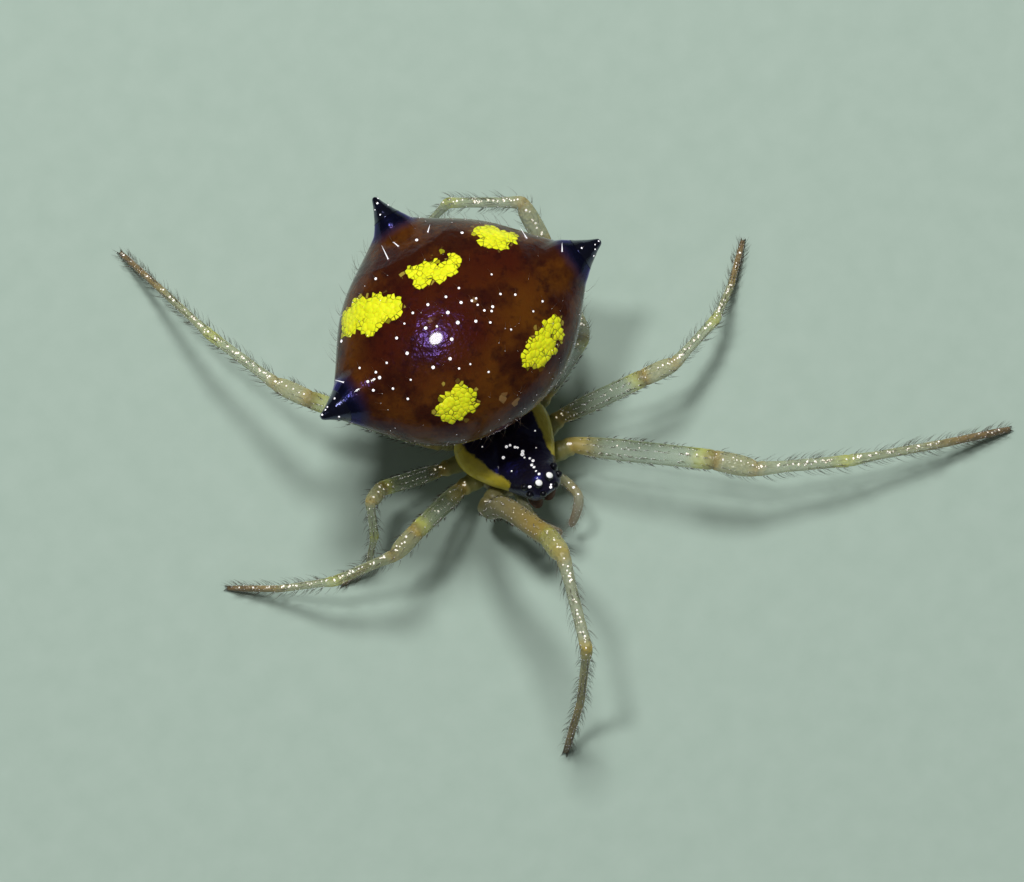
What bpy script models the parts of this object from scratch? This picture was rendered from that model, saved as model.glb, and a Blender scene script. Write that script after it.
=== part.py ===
# Three-horned comb-footed spider, adult female, standing still with all eight feet on a flat floor.
# The head points along -Y, the spider's left is +X and +Z is up.
# All sizes below are millimetres, measured from a point on the floor under the middle of the prosoma.
# Each mesh is made in millimetres about its own joint or centre, then scaled to metres.

import math

import bmesh
import bpy
from mathutils import Matrix, Vector

MM = 0.001
GAP = 0.02
UP = Vector((0, 0, 1))

# Cephalothorax: stations along the body, each (y, half width, top, bottom)
CARAPACE_STATIONS = (
    (-0.85, 0.12, 1.13, 1.02),
    (-0.80, 0.19, 1.16, 0.93),
    (-0.70, 0.24, 1.21, 0.84),
    (-0.60, 0.29, 1.21, 0.79),
    (-0.48, 0.35, 1.14, 0.77),
    (-0.25, 0.50, 1.07, 0.76),
    (0.05, 0.62, 1.07, 0.76),
    (0.30, 0.57, 1.03, 0.76),
    (0.50, 0.38, 0.93, 0.77),
    (0.60, 0.20, 0.88, 0.79),
)
CARAPACE_REAR = 0.59
STERNUM_CENTRE = Vector((0, 0.03, 0.58))
STERNUM_RADII = Vector((0.50, 0.60, 0.20))
STERNUM_TOP = 0.74

# Eyes of the left side, each (name, x, y, z, radius); the right side mirrors them
EYES = (
    ("anterior_median", 0.088, -0.822, 1.115, 0.046),
    ("anterior_lateral", 0.215, -0.725, 1.070, 0.045),
    ("posterior_median", 0.077, -0.712, 1.195, 0.055),
    ("posterior_lateral", 0.218, -0.627, 1.130, 0.047),
)
CHELICERA_PATH = (
    (0.095, -0.600, 0.83),
    (0.097, -0.635, 0.74),
    (0.098, -0.680, 0.62),
    (0.085, -0.705, 0.47),
    (0.070, -0.700, 0.36),
)
CHELICERA_RADII = (0.083, 0.085, 0.088, 0.070, 0.028)
CHELICERA_TOP = 0.775
PALP_PATH = (
    (0.235, -0.535, 0.610),
    (0.290, -0.755, 0.730),
    (0.300, -0.970, 0.790),
    (0.262, -1.060, 0.745),
    (0.180, -1.125, 0.620),
    (0.100, -1.150, 0.450),
    (0.078, -1.155, 0.400),
)
PALP_RADII = (0.058, 0.060, 0.055, 0.060, 0.056, 0.046, 0.018)

# Abdomen, in its own frame: a domed spheroid that tapers below to the spinnerets
ABDOMEN_CENTRE = Vector((0.131, 1.095, 2.00))
ABDOMEN_YAW = math.radians(-4)
ABDOMEN_RADIUS = 1.45
ABDOMEN_FRONT_FLATTENING = 0.22
# The flattest side is turned this far from straight ahead to the left
ABDOMEN_FRONT_TURN = math.radians(5)
ABDOMEN_RISE = 0.85
ABDOMEN_DROP = 1.45
ABDOMEN_LEAN = 0.35
PEDICEL_DIRECTION = Vector((0, -0.70, -0.72)).normalized()
SPINNERET_DIRECTION = Vector((0, 0.12, -1)).normalized()
FLAT_DEPTH = 0.012
PEDICEL_RADIUS = 0.075

# Horns: (name, azimuth, reach to the tip, height of the flare, spread of the flare, width factor)
HORN_RISE = math.radians(8)
HORNS = (
    ("left", math.radians(1), 2.025, 0.39, math.radians(14.5), 1.10),
    ("right", math.radians(180.4), 2.01, 0.39, math.radians(14.5), 1.08),
    ("rear", math.radians(89), 1.98, 0.29, math.radians(12.5), 0.88),
)
HORN_LENGTH = 0.38
HORN_PROFILE = (
    (0.000, 0.000),
    (0.005, 0.018),
    (0.020, 0.034),
    (0.055, 0.052),
    (0.110, 0.078),
    (0.190, 0.125),
    (0.270, 0.172),
    (0.330, 0.212),
    (HORN_LENGTH, 0.250),
)

# Legs: five lengths per pair, from femur to tarsus, and a thickness factor
LEG_LENGTHS = {
    1: (1.70, 0.53, 1.13, 1.19, 0.89),
    2: (1.11, 0.43, 0.85, 0.77, 0.64),
    3: (0.84, 0.33, 0.54, 0.50, 0.39),
    4: (1.67, 0.59, 1.13, 1.01, 0.79),
}
LEG_THICKNESS = {1: 1.0, 2: 0.86, 3: 0.74, 4: 0.88}
SEGMENTS = ("femur", "patella", "tibia", "metatarsus", "tarsus")
# Where each segment has a ring of its own, as shares of its length
SHARES = (0.0, 0.14, 0.32, 0.50, 0.70, 0.90, 1.0)
# Where the coxa leaves the sternum and where the femur starts, on the left side
COXA_START = {1: (0.33, -0.33, 0.57), 2: (0.37, -0.08, 0.56), 3: (0.37, 0.17, 0.56), 4: (0.33, 0.41, 0.57)}
FEMUR_START = {1: (0.66, -0.44, 0.66), 2: (0.75, -0.06, 0.64), 3: (0.79, 0.27, 0.63), 4: (0.66, 0.61, 0.65)}
# Radii on a front leg at the joints before femur, patella, tibia, metatarsus and tarsus, and at the tip
JOINT_RADII = (0.105, 0.122, 0.098, 0.080, 0.053, 0.036)
# Radii on a front leg in the middle of each segment
BELLY_RADII = (0.130, 0.133, 0.079, 0.058, 0.047)
COXA_RADII = (0.098, 0.122, 0.112)
# Standing pose of each leg: headings of the five segments, then pitches of the first four, in degrees.
# The tarsus takes the pitch that brings its tip to the floor.
POSES = {
    "left_1": ((-46, -46, -28, -22, -18), (8, -11, -11, -13)),
    "right_1": ((277, 259, 248, 219, 208), (51, 39, -18, -76)),
    "left_2": ((-16, -9, 16, 35, 40), (18, -7, -19, -38)),
    "right_2": ((198, 183, 158, 140, 136), (36, -36, -29, -31)),
    "left_3": ((15, 57, 67, 74, 77), (35, -35, -26, -52)),
    "right_3": ((168, 205, 243, 215, 172), (21, 35, -60, -62)),
    "left_4": ((43, 89, 129, 165, 198), (25, 42, -37, -63)),
    "right_4": ((132, 107, 100, 93, 94), (27, -31, -19, -24)),
}
# How far the middle of a femur bows upwards
FEMUR_BOWS = {"right_1": 0.22}
FOOT_LIFT = 0.022

# Colour, roughness
FINISHES = {
    "abdomen": ((0.16, 0.035, 0.015), 0.18),
    "horn": ((0.010, 0.010, 0.028), 0.15),
    "carapace": ((0.030, 0.028, 0.045), 0.20),
    "sternum": ((0.30, 0.24, 0.09), 0.40),
    "eye": ((0.015, 0.015, 0.020), 0.08),
    "chelicera": ((0.22, 0.14, 0.06), 0.30),
    "palp": ((0.55, 0.47, 0.22), 0.35),
    "pedicel": ((0.20, 0.12, 0.06), 0.35),
    "spinnerets": ((0.14, 0.07, 0.03), 0.40),
    "femur": ((0.42, 0.42, 0.28), 0.30),
    "patella": ((0.62, 0.55, 0.22), 0.30),
    "tibia": ((0.60, 0.54, 0.26), 0.30),
    "metatarsus": ((0.62, 0.52, 0.24), 0.35),
    "tarsus": ((0.50, 0.32, 0.14), 0.45),
}


def clear_scene():
    for obj in list(bpy.data.objects):
        bpy.data.objects.remove(obj, do_unlink=True)


def new_collection(name):
    collection = bpy.data.collections.new(name)
    bpy.context.scene.collection.children.link(collection)
    return collection


def finish_of(kind):
    material = bpy.data.materials.get(kind)
    if material:
        return material
    colour, roughness = FINISHES[kind]
    material = bpy.data.materials.new(kind)
    material.use_nodes = True
    shader = material.node_tree.nodes["Principled BSDF"]
    shader.inputs["Base Color"].default_value = (*colour, 1)
    shader.inputs["Roughness"].default_value = roughness
    shader.inputs["Metallic"].default_value = 0
    return material


def add_piece(name, bm, kind, location=(0, 0, 0), yaw=0.0):
    """Scales the mesh to metres and puts it in the spider's collection, under the root empty."""
    bmesh.ops.recalc_face_normals(bm, faces=bm.faces)
    bmesh.ops.scale(bm, vec=(MM, MM, MM), verts=bm.verts)
    mesh = bpy.data.meshes.new(name)
    bm.to_mesh(mesh)
    bm.free()
    mesh.shade_smooth()
    mesh.set_sharp_from_angle(angle=math.radians(50))
    mesh.materials.append(finish_of(kind))
    obj = bpy.data.objects.new(name, mesh)
    spider.objects.link(obj)
    obj.parent = root
    obj.location = Vector(location) * MM
    obj.rotation_euler = (0, 0, yaw)
    return obj


def trim(bm, point, outward):
    """Cuts away what lies outside a plane and closes the cut with a flat face."""
    geometry = list(bm.verts) + list(bm.edges) + list(bm.faces)
    bmesh.ops.bisect_plane(
        bm, geom=geometry, plane_co=point, plane_no=outward, clear_outer=True, dist=1e-6
    )
    rim = [edge for edge in bm.edges if edge.is_boundary]
    bmesh.ops.holes_fill(bm, edges=rim, sides=0)


def tube(path, radii, resolution=3):
    """A round tube through the points, as a mesh with welded caps."""
    curve = bpy.data.curves.new("tube", "CURVE")
    curve.dimensions = "3D"
    curve.bevel_depth = 1
    curve.bevel_resolution = resolution
    curve.use_fill_caps = True
    spline = curve.splines.new("POLY")
    spline.points.add(len(path) - 1)
    for point, place, radius in zip(spline.points, path, radii):
        point.co = (*place, 1)
        point.radius = radius
    guide = bpy.data.objects.new("tube", curve)
    bpy.context.scene.collection.objects.link(guide)
    bpy.context.view_layer.update()
    mesh = bpy.data.meshes.new_from_object(guide.evaluated_get(bpy.context.evaluated_depsgraph_get()))
    bm = bmesh.new()
    bm.from_mesh(mesh)
    bmesh.ops.remove_doubles(bm, verts=bm.verts, dist=1e-5)
    bpy.data.objects.remove(guide)
    bpy.data.curves.remove(curve)
    bpy.data.meshes.remove(mesh)
    return bm


def turned(profile, steps=20):
    """A profile of (distance along Z, radius), spun round Z."""
    bm = bmesh.new()
    verts = [bm.verts.new((radius, 0, height)) for height, radius in profile]
    edges = [bm.edges.new(pair) for pair in zip(verts, verts[1:])]
    bmesh.ops.spin(
        bm, geom=verts + edges, cent=(0, 0, 0), axis=(0, 0, 1), angle=math.tau, steps=steps, use_merge=True
    )
    bmesh.ops.remove_doubles(bm, verts=bm.verts, dist=1e-5)
    rim = [edge for edge in bm.edges if edge.is_boundary]
    bmesh.ops.holes_fill(bm, edges=rim, sides=0)
    bmesh.ops.recalc_face_normals(bm, faces=bm.faces)
    return bm


def ball(radii, centre=(0, 0, 0), segments=12, rings=8):
    bm = bmesh.new()
    bmesh.ops.create_uvsphere(bm, u_segments=segments, v_segments=rings, radius=1)
    bmesh.ops.scale(bm, vec=radii, verts=bm.verts)
    bmesh.ops.translate(bm, vec=centre, verts=bm.verts)
    return bm


def join_meshes(meshes):
    """One closed body from several that overlap."""
    helpers = new_collection("joined pieces")
    pieces = []
    for bm in meshes:
        data = bpy.data.meshes.new("joined piece")
        bm.to_mesh(data)
        bm.free()
        pieces.append(bpy.data.objects.new("joined piece", data))
    first = pieces[0]
    bpy.context.scene.collection.objects.link(first)
    for piece in pieces[1:]:
        helpers.objects.link(piece)
    union = first.modifiers.new("union", "BOOLEAN")
    union.operation = "UNION"
    union.operand_type = "COLLECTION"
    union.collection = helpers
    return apply_boolean(first, helpers)


def carve(bm, cutters):
    """The mesh less each of the cutters."""
    helpers = new_collection("cutters")
    data = bpy.data.meshes.new("carved")
    bm.to_mesh(data)
    bm.free()
    body = bpy.data.objects.new("carved", data)
    bpy.context.scene.collection.objects.link(body)
    for cutter in cutters:
        shape = bpy.data.meshes.new("cutter")
        cutter.to_mesh(shape)
        cutter.free()
        helpers.objects.link(bpy.data.objects.new("cutter", shape))
    cut = body.modifiers.new("sockets", "BOOLEAN")
    cut.operation = "DIFFERENCE"
    cut.operand_type = "COLLECTION"
    cut.collection = helpers
    return apply_boolean(body, helpers)


def apply_boolean(body, helpers):
    bpy.context.view_layer.update()
    result = bpy.data.meshes.new_from_object(body.evaluated_get(bpy.context.evaluated_depsgraph_get()))
    bm = bmesh.new()
    bm.from_mesh(result)
    for obj in list(helpers.objects) + [body]:
        bpy.data.objects.remove(obj, do_unlink=True)
    bpy.data.collections.remove(helpers)
    bpy.data.meshes.remove(result)
    return bm


def between(stations, place):
    """Smooth values at a place along stations whose first entry is their own place."""
    place = min(max(place, stations[0][0]), stations[-1][0])
    index = max(i for i in range(len(stations) - 1) if stations[i][0] <= place)
    before = stations[max(index - 1, 0)]
    start, end = stations[index], stations[index + 1]
    after = stations[min(index + 2, len(stations) - 1)]
    span = end[0] - start[0]
    t = (place - start[0]) / span
    values = []
    for a, b, c, d in zip(before[1:], start[1:], end[1:], after[1:]):
        slope_start = span * (c - a) / (end[0] - before[0])
        slope_end = span * (d - b) / (after[0] - start[0])
        values.append(
            b * (2 * t**3 - 3 * t**2 + 1)
            + slope_start * (t**3 - 2 * t**2 + t)
            + c * (3 * t**2 - 2 * t**3)
            + slope_end * (t**3 - t**2)
        )
    return values


def build_carapace():
    """The shield over the cephalothorax: wide behind, raised in front to the block that carries the eyes."""
    front, rear = CARAPACE_STATIONS[0][0], CARAPACE_STATIONS[-1][0]
    bm = bmesh.new()
    bmesh.ops.create_uvsphere(bm, u_segments=32, v_segments=26, radius=1)
    bmesh.ops.rotate(bm, matrix=Matrix.Rotation(math.radians(90), 3, "X"), verts=bm.verts)
    for vert in bm.verts:
        along = 0.5 + math.asin(max(-1, min(1, vert.co.y))) / math.pi
        y = front + (rear - front) * along
        half_width, top, bottom = between(CARAPACE_STATIONS, y)
        section = Vector((vert.co.x, 0, vert.co.z))
        if section.length < 1e-4:
            vert.co = (0, y, (top + bottom) / 2)
            continue
        section.normalize()
        rim = bottom + 0.25 * (top - bottom)
        height = top - rim if section.z > 0 else rim - bottom
        flat = abs(section.z) ** 0.8
        vert.co = (half_width * section.x, y, rim + math.copysign(height * flat, section.z))
    trim(bm, (0, CARAPACE_REAR, 0), (0, 1, 0))
    sockets = []
    for name, x, y, z, radius in EYES:
        for side in (1, -1):
            sockets.append(ball([radius + GAP / 2] * 3, (side * x, y, z)))
    bm = carve(bm, sockets)
    add_piece("carapace", bm, "carapace")


def build_eyes():
    for name, x, y, z, radius in EYES:
        for label, side in (("left", 1), ("right", -1)):
            add_piece(f"eye_{name}_{label}", ball([radius] * 3), "eye", (side * x, y, z))


def coxa_axis(pair, side):
    start = Vector(COXA_START[pair])
    end = Vector(FEMUR_START[pair])
    start.x *= side
    end.x *= side
    return start, end, (end - start).normalized()


def build_sternum():
    """The underside between the coxae, with a flat face towards each of the eight coxae."""
    bm = ball(STERNUM_RADII, STERNUM_CENTRE, 24, 12)
    trim(bm, (0, 0, STERNUM_TOP), (0, 0, 1))
    for pair in COXA_START:
        for side in (1, -1):
            start, _, axis = coxa_axis(pair, side)
            trim(bm, start - axis * GAP, axis)
    add_piece("sternum", bm, "sternum")


def mirrored(path, side):
    return [Vector((side * x, y, z)) for x, y, z in path]


def build_mouthparts():
    for label, side in (("left", 1), ("right", -1)):
        chelicera = tube(mirrored(CHELICERA_PATH, side), CHELICERA_RADII)
        trim(chelicera, (0, 0, CHELICERA_TOP), UP)
        add_piece(f"chelicera_{label}", chelicera, "chelicera")
        add_piece(f"palp_{label}", tube(mirrored(PALP_PATH, side), PALP_RADII), "palp")


def horn_direction(azimuth):
    level = math.cos(HORN_RISE)
    return Vector((math.cos(azimuth) * level, math.sin(azimuth) * level, math.sin(HORN_RISE)))


def abdomen_point(unit):
    """Where a direction from the abdomen's centre meets its surface, flares of the horns included."""
    ahead = unit.x * math.sin(ABDOMEN_FRONT_TURN) - unit.y * math.cos(ABDOMEN_FRONT_TURN)
    front = max(0.0, ahead / max(1e-6, math.hypot(unit.x, unit.y)))
    radius = ABDOMEN_RADIUS - ABDOMEN_FRONT_FLATTENING * front**2
    flare = 0.0
    roundness = 0.0
    for _, azimuth, _, height, spread, _ in HORNS:
        share = math.exp(-((unit.angle(horn_direction(azimuth)) / spread) ** 1.3))
        flare += height * share
        roundness += share
    if unit.z >= 0:
        tall = ABDOMEN_RISE * (1 + 0.5 * min(1, roundness))
        point = Vector((unit.x * radius, unit.y * radius, unit.z * tall))
    else:
        depth = math.asin(-unit.z) / (math.pi / 2)
        plan = max(0, 1 - depth**2) ** 0.75 / max(1e-6, math.hypot(unit.x, unit.y))
        point = Vector((unit.x * plan * radius, unit.y * plan * radius, -ABDOMEN_DROP * depth))
        point.y += ABDOMEN_LEAN * depth**1.2
    level = Vector((unit.x, unit.y, 0.35 * unit.z))
    return point + level * flare


def build_abdomen():
    bm = bmesh.new()
    bmesh.ops.create_uvsphere(bm, u_segments=48, v_segments=28, radius=1)
    for reach in (math.radians(26), math.radians(17)):
        near_horn = [
            edge
            for edge in bm.edges
            if min(edge.verts[0].co.angle(horn_direction(azimuth)) for _, azimuth, *_ in HORNS) < reach
        ]
        bmesh.ops.subdivide_edges(bm, edges=near_horn, cuts=1, use_grid_fill=True)
        for vert in bm.verts:
            vert.co.normalize()
    for vert in bm.verts:
        vert.co = abdomen_point(vert.co.copy())
    bmesh.ops.triangulate(bm, faces=bm.faces)
    for _, azimuth, reach, *_ in HORNS:
        axis = horn_direction(azimuth)
        trim(bm, axis * (reach - HORN_LENGTH), axis)
    flats = {}
    for name, direction in (("pedicel", PEDICEL_DIRECTION), ("spinnerets", SPINNERET_DIRECTION)):
        furthest = max(bm.verts, key=lambda vert: vert.co.dot(direction)).co.copy()
        place = furthest - direction * FLAT_DEPTH
        place.x = 0
        trim(bm, place, direction)
        flats[name] = place
    add_piece("abdomen", bm, "abdomen", ABDOMEN_CENTRE, ABDOMEN_YAW)
    return flats


def to_body(place):
    """From the abdomen's own frame to the spider's."""
    return ABDOMEN_CENTRE + Matrix.Rotation(ABDOMEN_YAW, 3, "Z") @ place


def build_horns():
    for name, azimuth, reach, _, _, width in HORNS:
        axis = horn_direction(azimuth)
        bm = turned([(depth, radius * width) for depth, radius in HORN_PROFILE])
        trim(bm, (0, 0, HORN_LENGTH - GAP), UP)
        bmesh.ops.rotate(bm, matrix=(-axis).to_track_quat("Z", "Y").to_matrix(), verts=bm.verts)
        add_piece(f"horn_{name}", bm, "horn", to_body(axis * reach), ABDOMEN_YAW)


def build_pedicel(abdomen_flat):
    """The narrow stalk between the carapace's rear face and the flat on the abdomen."""
    outward = Matrix.Rotation(ABDOMEN_YAW, 3, "Z") @ PEDICEL_DIRECTION
    start = Vector((0, CARAPACE_REAR, 0.84))
    end = to_body(abdomen_flat)
    along = (end - start).normalized()
    spare = along * 3 * PEDICEL_RADIUS
    path = (start - spare, start, (start + end) / 2, end, end + spare)
    bm = tube(path, (PEDICEL_RADIUS,) * 5)
    trim(bm, start + Vector((0, GAP, 0)), (0, -1, 0))
    trim(bm, end + outward * GAP, -outward)
    add_piece("pedicel", bm, "pedicel")


def build_spinnerets(abdomen_flat):
    """A low collar with six short cones round its end."""
    collar = turned(((0, 0), (0, 0.150), (0.05, 0.145), (0.09, 0.120), (0.10, 0)), 16)
    pieces = [collar]
    for count, ring, length, radius in ((4, 0.070, 0.19, 0.045), (2, 0.025, 0.15, 0.028)):
        for index in range(count):
            angle = math.tau * (index + 0.5) / count
            cone = turned(((0.04, 0), (0.04, radius), (length - 0.04, 0.8 * radius), (length, 0)), 8)
            place = (ring * math.cos(angle), ring * math.sin(angle), 0)
            bmesh.ops.translate(cone, vec=place, verts=cone.verts)
            pieces.append(cone)
    bm = join_meshes(pieces)
    turn = SPINNERET_DIRECTION.to_track_quat("Z", "Y").to_matrix()
    bmesh.ops.rotate(bm, matrix=turn, verts=bm.verts)
    place = to_body(abdomen_flat + SPINNERET_DIRECTION * GAP)
    add_piece("spinnerets", bm, "spinnerets", place, ABDOMEN_YAW)


def heading_and_pitch(heading, pitch):
    heading, pitch = math.radians(heading), math.radians(pitch)
    level = math.cos(pitch)
    return Vector((math.cos(heading) * level, math.sin(heading) * level, math.sin(pitch)))


def leg_joints(side, pair, headings, pitches):
    """The leg's six joint centres and its five directions, with the tip on the floor."""
    lengths = LEG_LENGTHS[pair]
    joints = [Vector(FEMUR_START[pair])]
    joints[0].x *= side
    directions = []
    for length, heading, pitch in zip(lengths, headings, pitches):
        directions.append(heading_and_pitch(heading, pitch))
        joints.append(joints[-1] + directions[-1] * length)
    last_pitch = math.degrees(math.asin((FOOT_LIFT - joints[-1].z) / lengths[4]))
    directions.append(heading_and_pitch(headings[4], last_pitch))
    joints.append(joints[-1] + directions[-1] * lengths[4])
    return joints, directions


def build_leg(label, side, pair):
    leg = f"{label}_{pair}"
    joints, directions = leg_joints(side, pair, *POSES[leg])
    thickness = LEG_THICKNESS[pair]
    coxa_start, femur_start, coxa_direction = coxa_axis(pair, side)
    for index, segment in enumerate(SEGMENTS):
        start, end = joints[index], joints[index + 1]
        along = directions[index]
        near, far = JOINT_RADII[index] * thickness, JOINT_RADII[index + 1] * thickness
        belly = BELLY_RADII[index] * thickness
        span = end - start
        path = [start + span * share for share in SHARES]
        radii = [near, 0.5 * near + 0.5 * belly, belly, belly, belly * 0.97, 0.4 * belly + 0.6 * far, far]
        if segment == "femur":
            bow = (UP - along * along.z).normalized() * FEMUR_BOWS.get(leg, 0)
            path = [place + bow * math.sin(math.pi * share) ** 2 for place, share in zip(path, SHARES)]
            bend = 0.07
            root_radii = [radius * (0.5 + 0.5 * thickness) for radius in COXA_RADII]
            path[:1] = [
                coxa_start,
                coxa_start.lerp(femur_start, 0.5),
                femur_start - coxa_direction * bend,
                femur_start + along * bend,
            ]
            radii[:1] = [*root_radii, near]
        else:
            path.insert(0, start - along * 1.5 * near)
            radii.insert(0, near)
        if segment == "tarsus":
            path[-1:] = [start + span * 0.975, end + along * 0.4 * far]
            radii[-1:] = [far, 0.5 * far]
        else:
            path.append(end + along * 1.5 * far)
            radii.append(far)
        bm = tube([place - start for place in path], radii)
        if index > 0:
            mitre = (directions[index - 1] + along).normalized()
            trim(bm, mitre * GAP / 2, -mitre)
        if index < 4:
            mitre = (along + directions[index + 1]).normalized()
            trim(bm, span - mitre * GAP / 2, mitre)
        else:
            trim(bm, (0, 0, -start.z), (0, 0, -1))
        add_piece(f"leg_{leg}_{segment}", bm, segment, start)


def stand_on_origin():
    """Moves the whole spider so that the origin is on the floor under the middle of its outline."""
    bpy.context.view_layer.update()
    pieces = [obj for obj in spider.objects if obj.data]
    corners = [piece.matrix_world @ Vector(corner) for piece in pieces for corner in piece.bound_box]
    for axis in (0, 1):
        values = [corner[axis] for corner in corners]
        root.location[axis] = -(min(values) + max(values)) / 2


clear_scene()
spider = new_collection("three horned comb footed spider")
root = bpy.data.objects.new("spider root", None)
spider.objects.link(root)
build_carapace()
build_eyes()
build_sternum()
build_mouthparts()
abdomen_flats = build_abdomen()
build_horns()
build_pedicel(abdomen_flats["pedicel"])
build_spinnerets(abdomen_flats["spinnerets"])
for leg_label, leg_side in (("left", 1), ("right", -1)):
    for leg_pair in LEG_LENGTHS:
        build_leg(leg_label, leg_side, leg_pair)
stand_on_origin()
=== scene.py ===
import math
import random

import bmesh
import bpy
import numpy as np
from mathutils import Matrix, Vector
from mathutils.bvhtree import BVHTree


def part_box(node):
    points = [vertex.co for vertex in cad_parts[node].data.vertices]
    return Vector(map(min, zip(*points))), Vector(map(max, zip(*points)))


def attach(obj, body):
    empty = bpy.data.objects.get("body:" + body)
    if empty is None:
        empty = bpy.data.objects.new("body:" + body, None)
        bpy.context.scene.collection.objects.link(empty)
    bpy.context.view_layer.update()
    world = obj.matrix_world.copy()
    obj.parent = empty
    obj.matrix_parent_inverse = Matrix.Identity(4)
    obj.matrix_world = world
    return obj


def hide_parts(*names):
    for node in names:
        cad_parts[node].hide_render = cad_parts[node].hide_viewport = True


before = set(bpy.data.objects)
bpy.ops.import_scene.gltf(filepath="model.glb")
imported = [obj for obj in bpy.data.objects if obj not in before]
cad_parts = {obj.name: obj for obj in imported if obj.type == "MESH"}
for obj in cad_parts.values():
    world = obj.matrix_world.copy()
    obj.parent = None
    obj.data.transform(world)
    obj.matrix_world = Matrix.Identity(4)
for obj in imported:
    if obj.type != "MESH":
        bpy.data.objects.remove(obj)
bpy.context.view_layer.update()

# Three-horned comb-footed spider on a plain floor, seen from above and in front.
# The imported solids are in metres. New pieces are made in millimetres from the floor under the prosoma.

scene = bpy.context.scene
mm = 0.001
up = Vector((0, 0, 1))
bothSides = (("left", 1), ("right", -1))
rearFace = 0.59  # the carapace's rear face, behind the middle of the prosoma

low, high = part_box("carapace")
bodyPlace = Vector(((low.x + high.x) / 2, high.y - rearFace * mm, 0))


# Camera: a long lens, high over the spider's left front

lens = {
    "azimuth": math.radians(-37),
    "elevation": math.radians(72),
    "distance": 420,
    "frameWidth": 12.19,
    "aim": Vector((0.070, 0.004, 0.815)),
}


def addCamera():
    a = lens["azimuth"]
    e = lens["elevation"]
    back = Vector((math.sin(a) * math.cos(e), -math.cos(a) * math.cos(e), math.sin(e)))
    data = bpy.data.cameras.new("camera")
    data.sensor_width = 36
    data.lens = data.sensor_width * lens["distance"] / lens["frameWidth"]
    data.clip_start = 0.01
    data.clip_end = 5
    camera = bpy.data.objects.new("camera", data)
    scene.collection.objects.link(camera)
    camera.location = bodyPlace + (lens["aim"] + back * lens["distance"]) * mm
    camera.rotation_euler = (-back).to_track_quat("-Z", "Y").to_euler()
    scene.camera = camera


# Shader nodes as sums

class Signal:
    def __init__(self, finish, socket):
        self.finish = finish
        self.socket = socket

    def reckon(self, operation, *others):
        return self.finish.node("ShaderNodeMath", {"operation": operation}, dict(enumerate((self, *others))))

    def __add__(self, other):
        return self.reckon("ADD", other)

    def __sub__(self, other):
        return self.reckon("SUBTRACT", other)

    def __rsub__(self, other):
        return self.finish.node("ShaderNodeMath", {"operation": "SUBTRACT"}, {0: other, 1: self})

    def __mul__(self, other):
        return self.reckon("MULTIPLY", other)

    def __truediv__(self, other):
        return self.reckon("DIVIDE", other)

    __radd__ = __add__
    __rmul__ = __mul__

    def least(self, other):
        return self.reckon("MINIMUM", other)

    def most(self, other):
        return self.reckon("MAXIMUM", other)

    def size(self):
        return self.reckon("ABSOLUTE")

    def rise(self, start, end):
        glintSockets = {"Value": self, "From Min": start, "From Max": end}
        return self.finish.node("ShaderNodeMapRange", {"interpolation_type": "SMOOTHSTEP"}, glintSockets)

    def axis(self, index):
        return self.finish.node("ShaderNodeSeparateXYZ", {}, {0: self}, index)

    def distance(self, point):
        glintSockets = {0: self, 1: point}
        return self.finish.node("ShaderNodeVectorMath", {"operation": "DISTANCE"}, glintSockets, "Value")

    def noise(self, scale, detail=2.0, roughness=0.5):
        glintSockets = {"Vector": self, "Scale": scale, "Detail": detail, "Roughness": roughness}
        return self.finish.node("ShaderNodeTexNoise", {}, glintSockets)


# A material. Its coat is (weight, roughness, IOR), and its wax is (how waxy, how deep for each colour).

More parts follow.
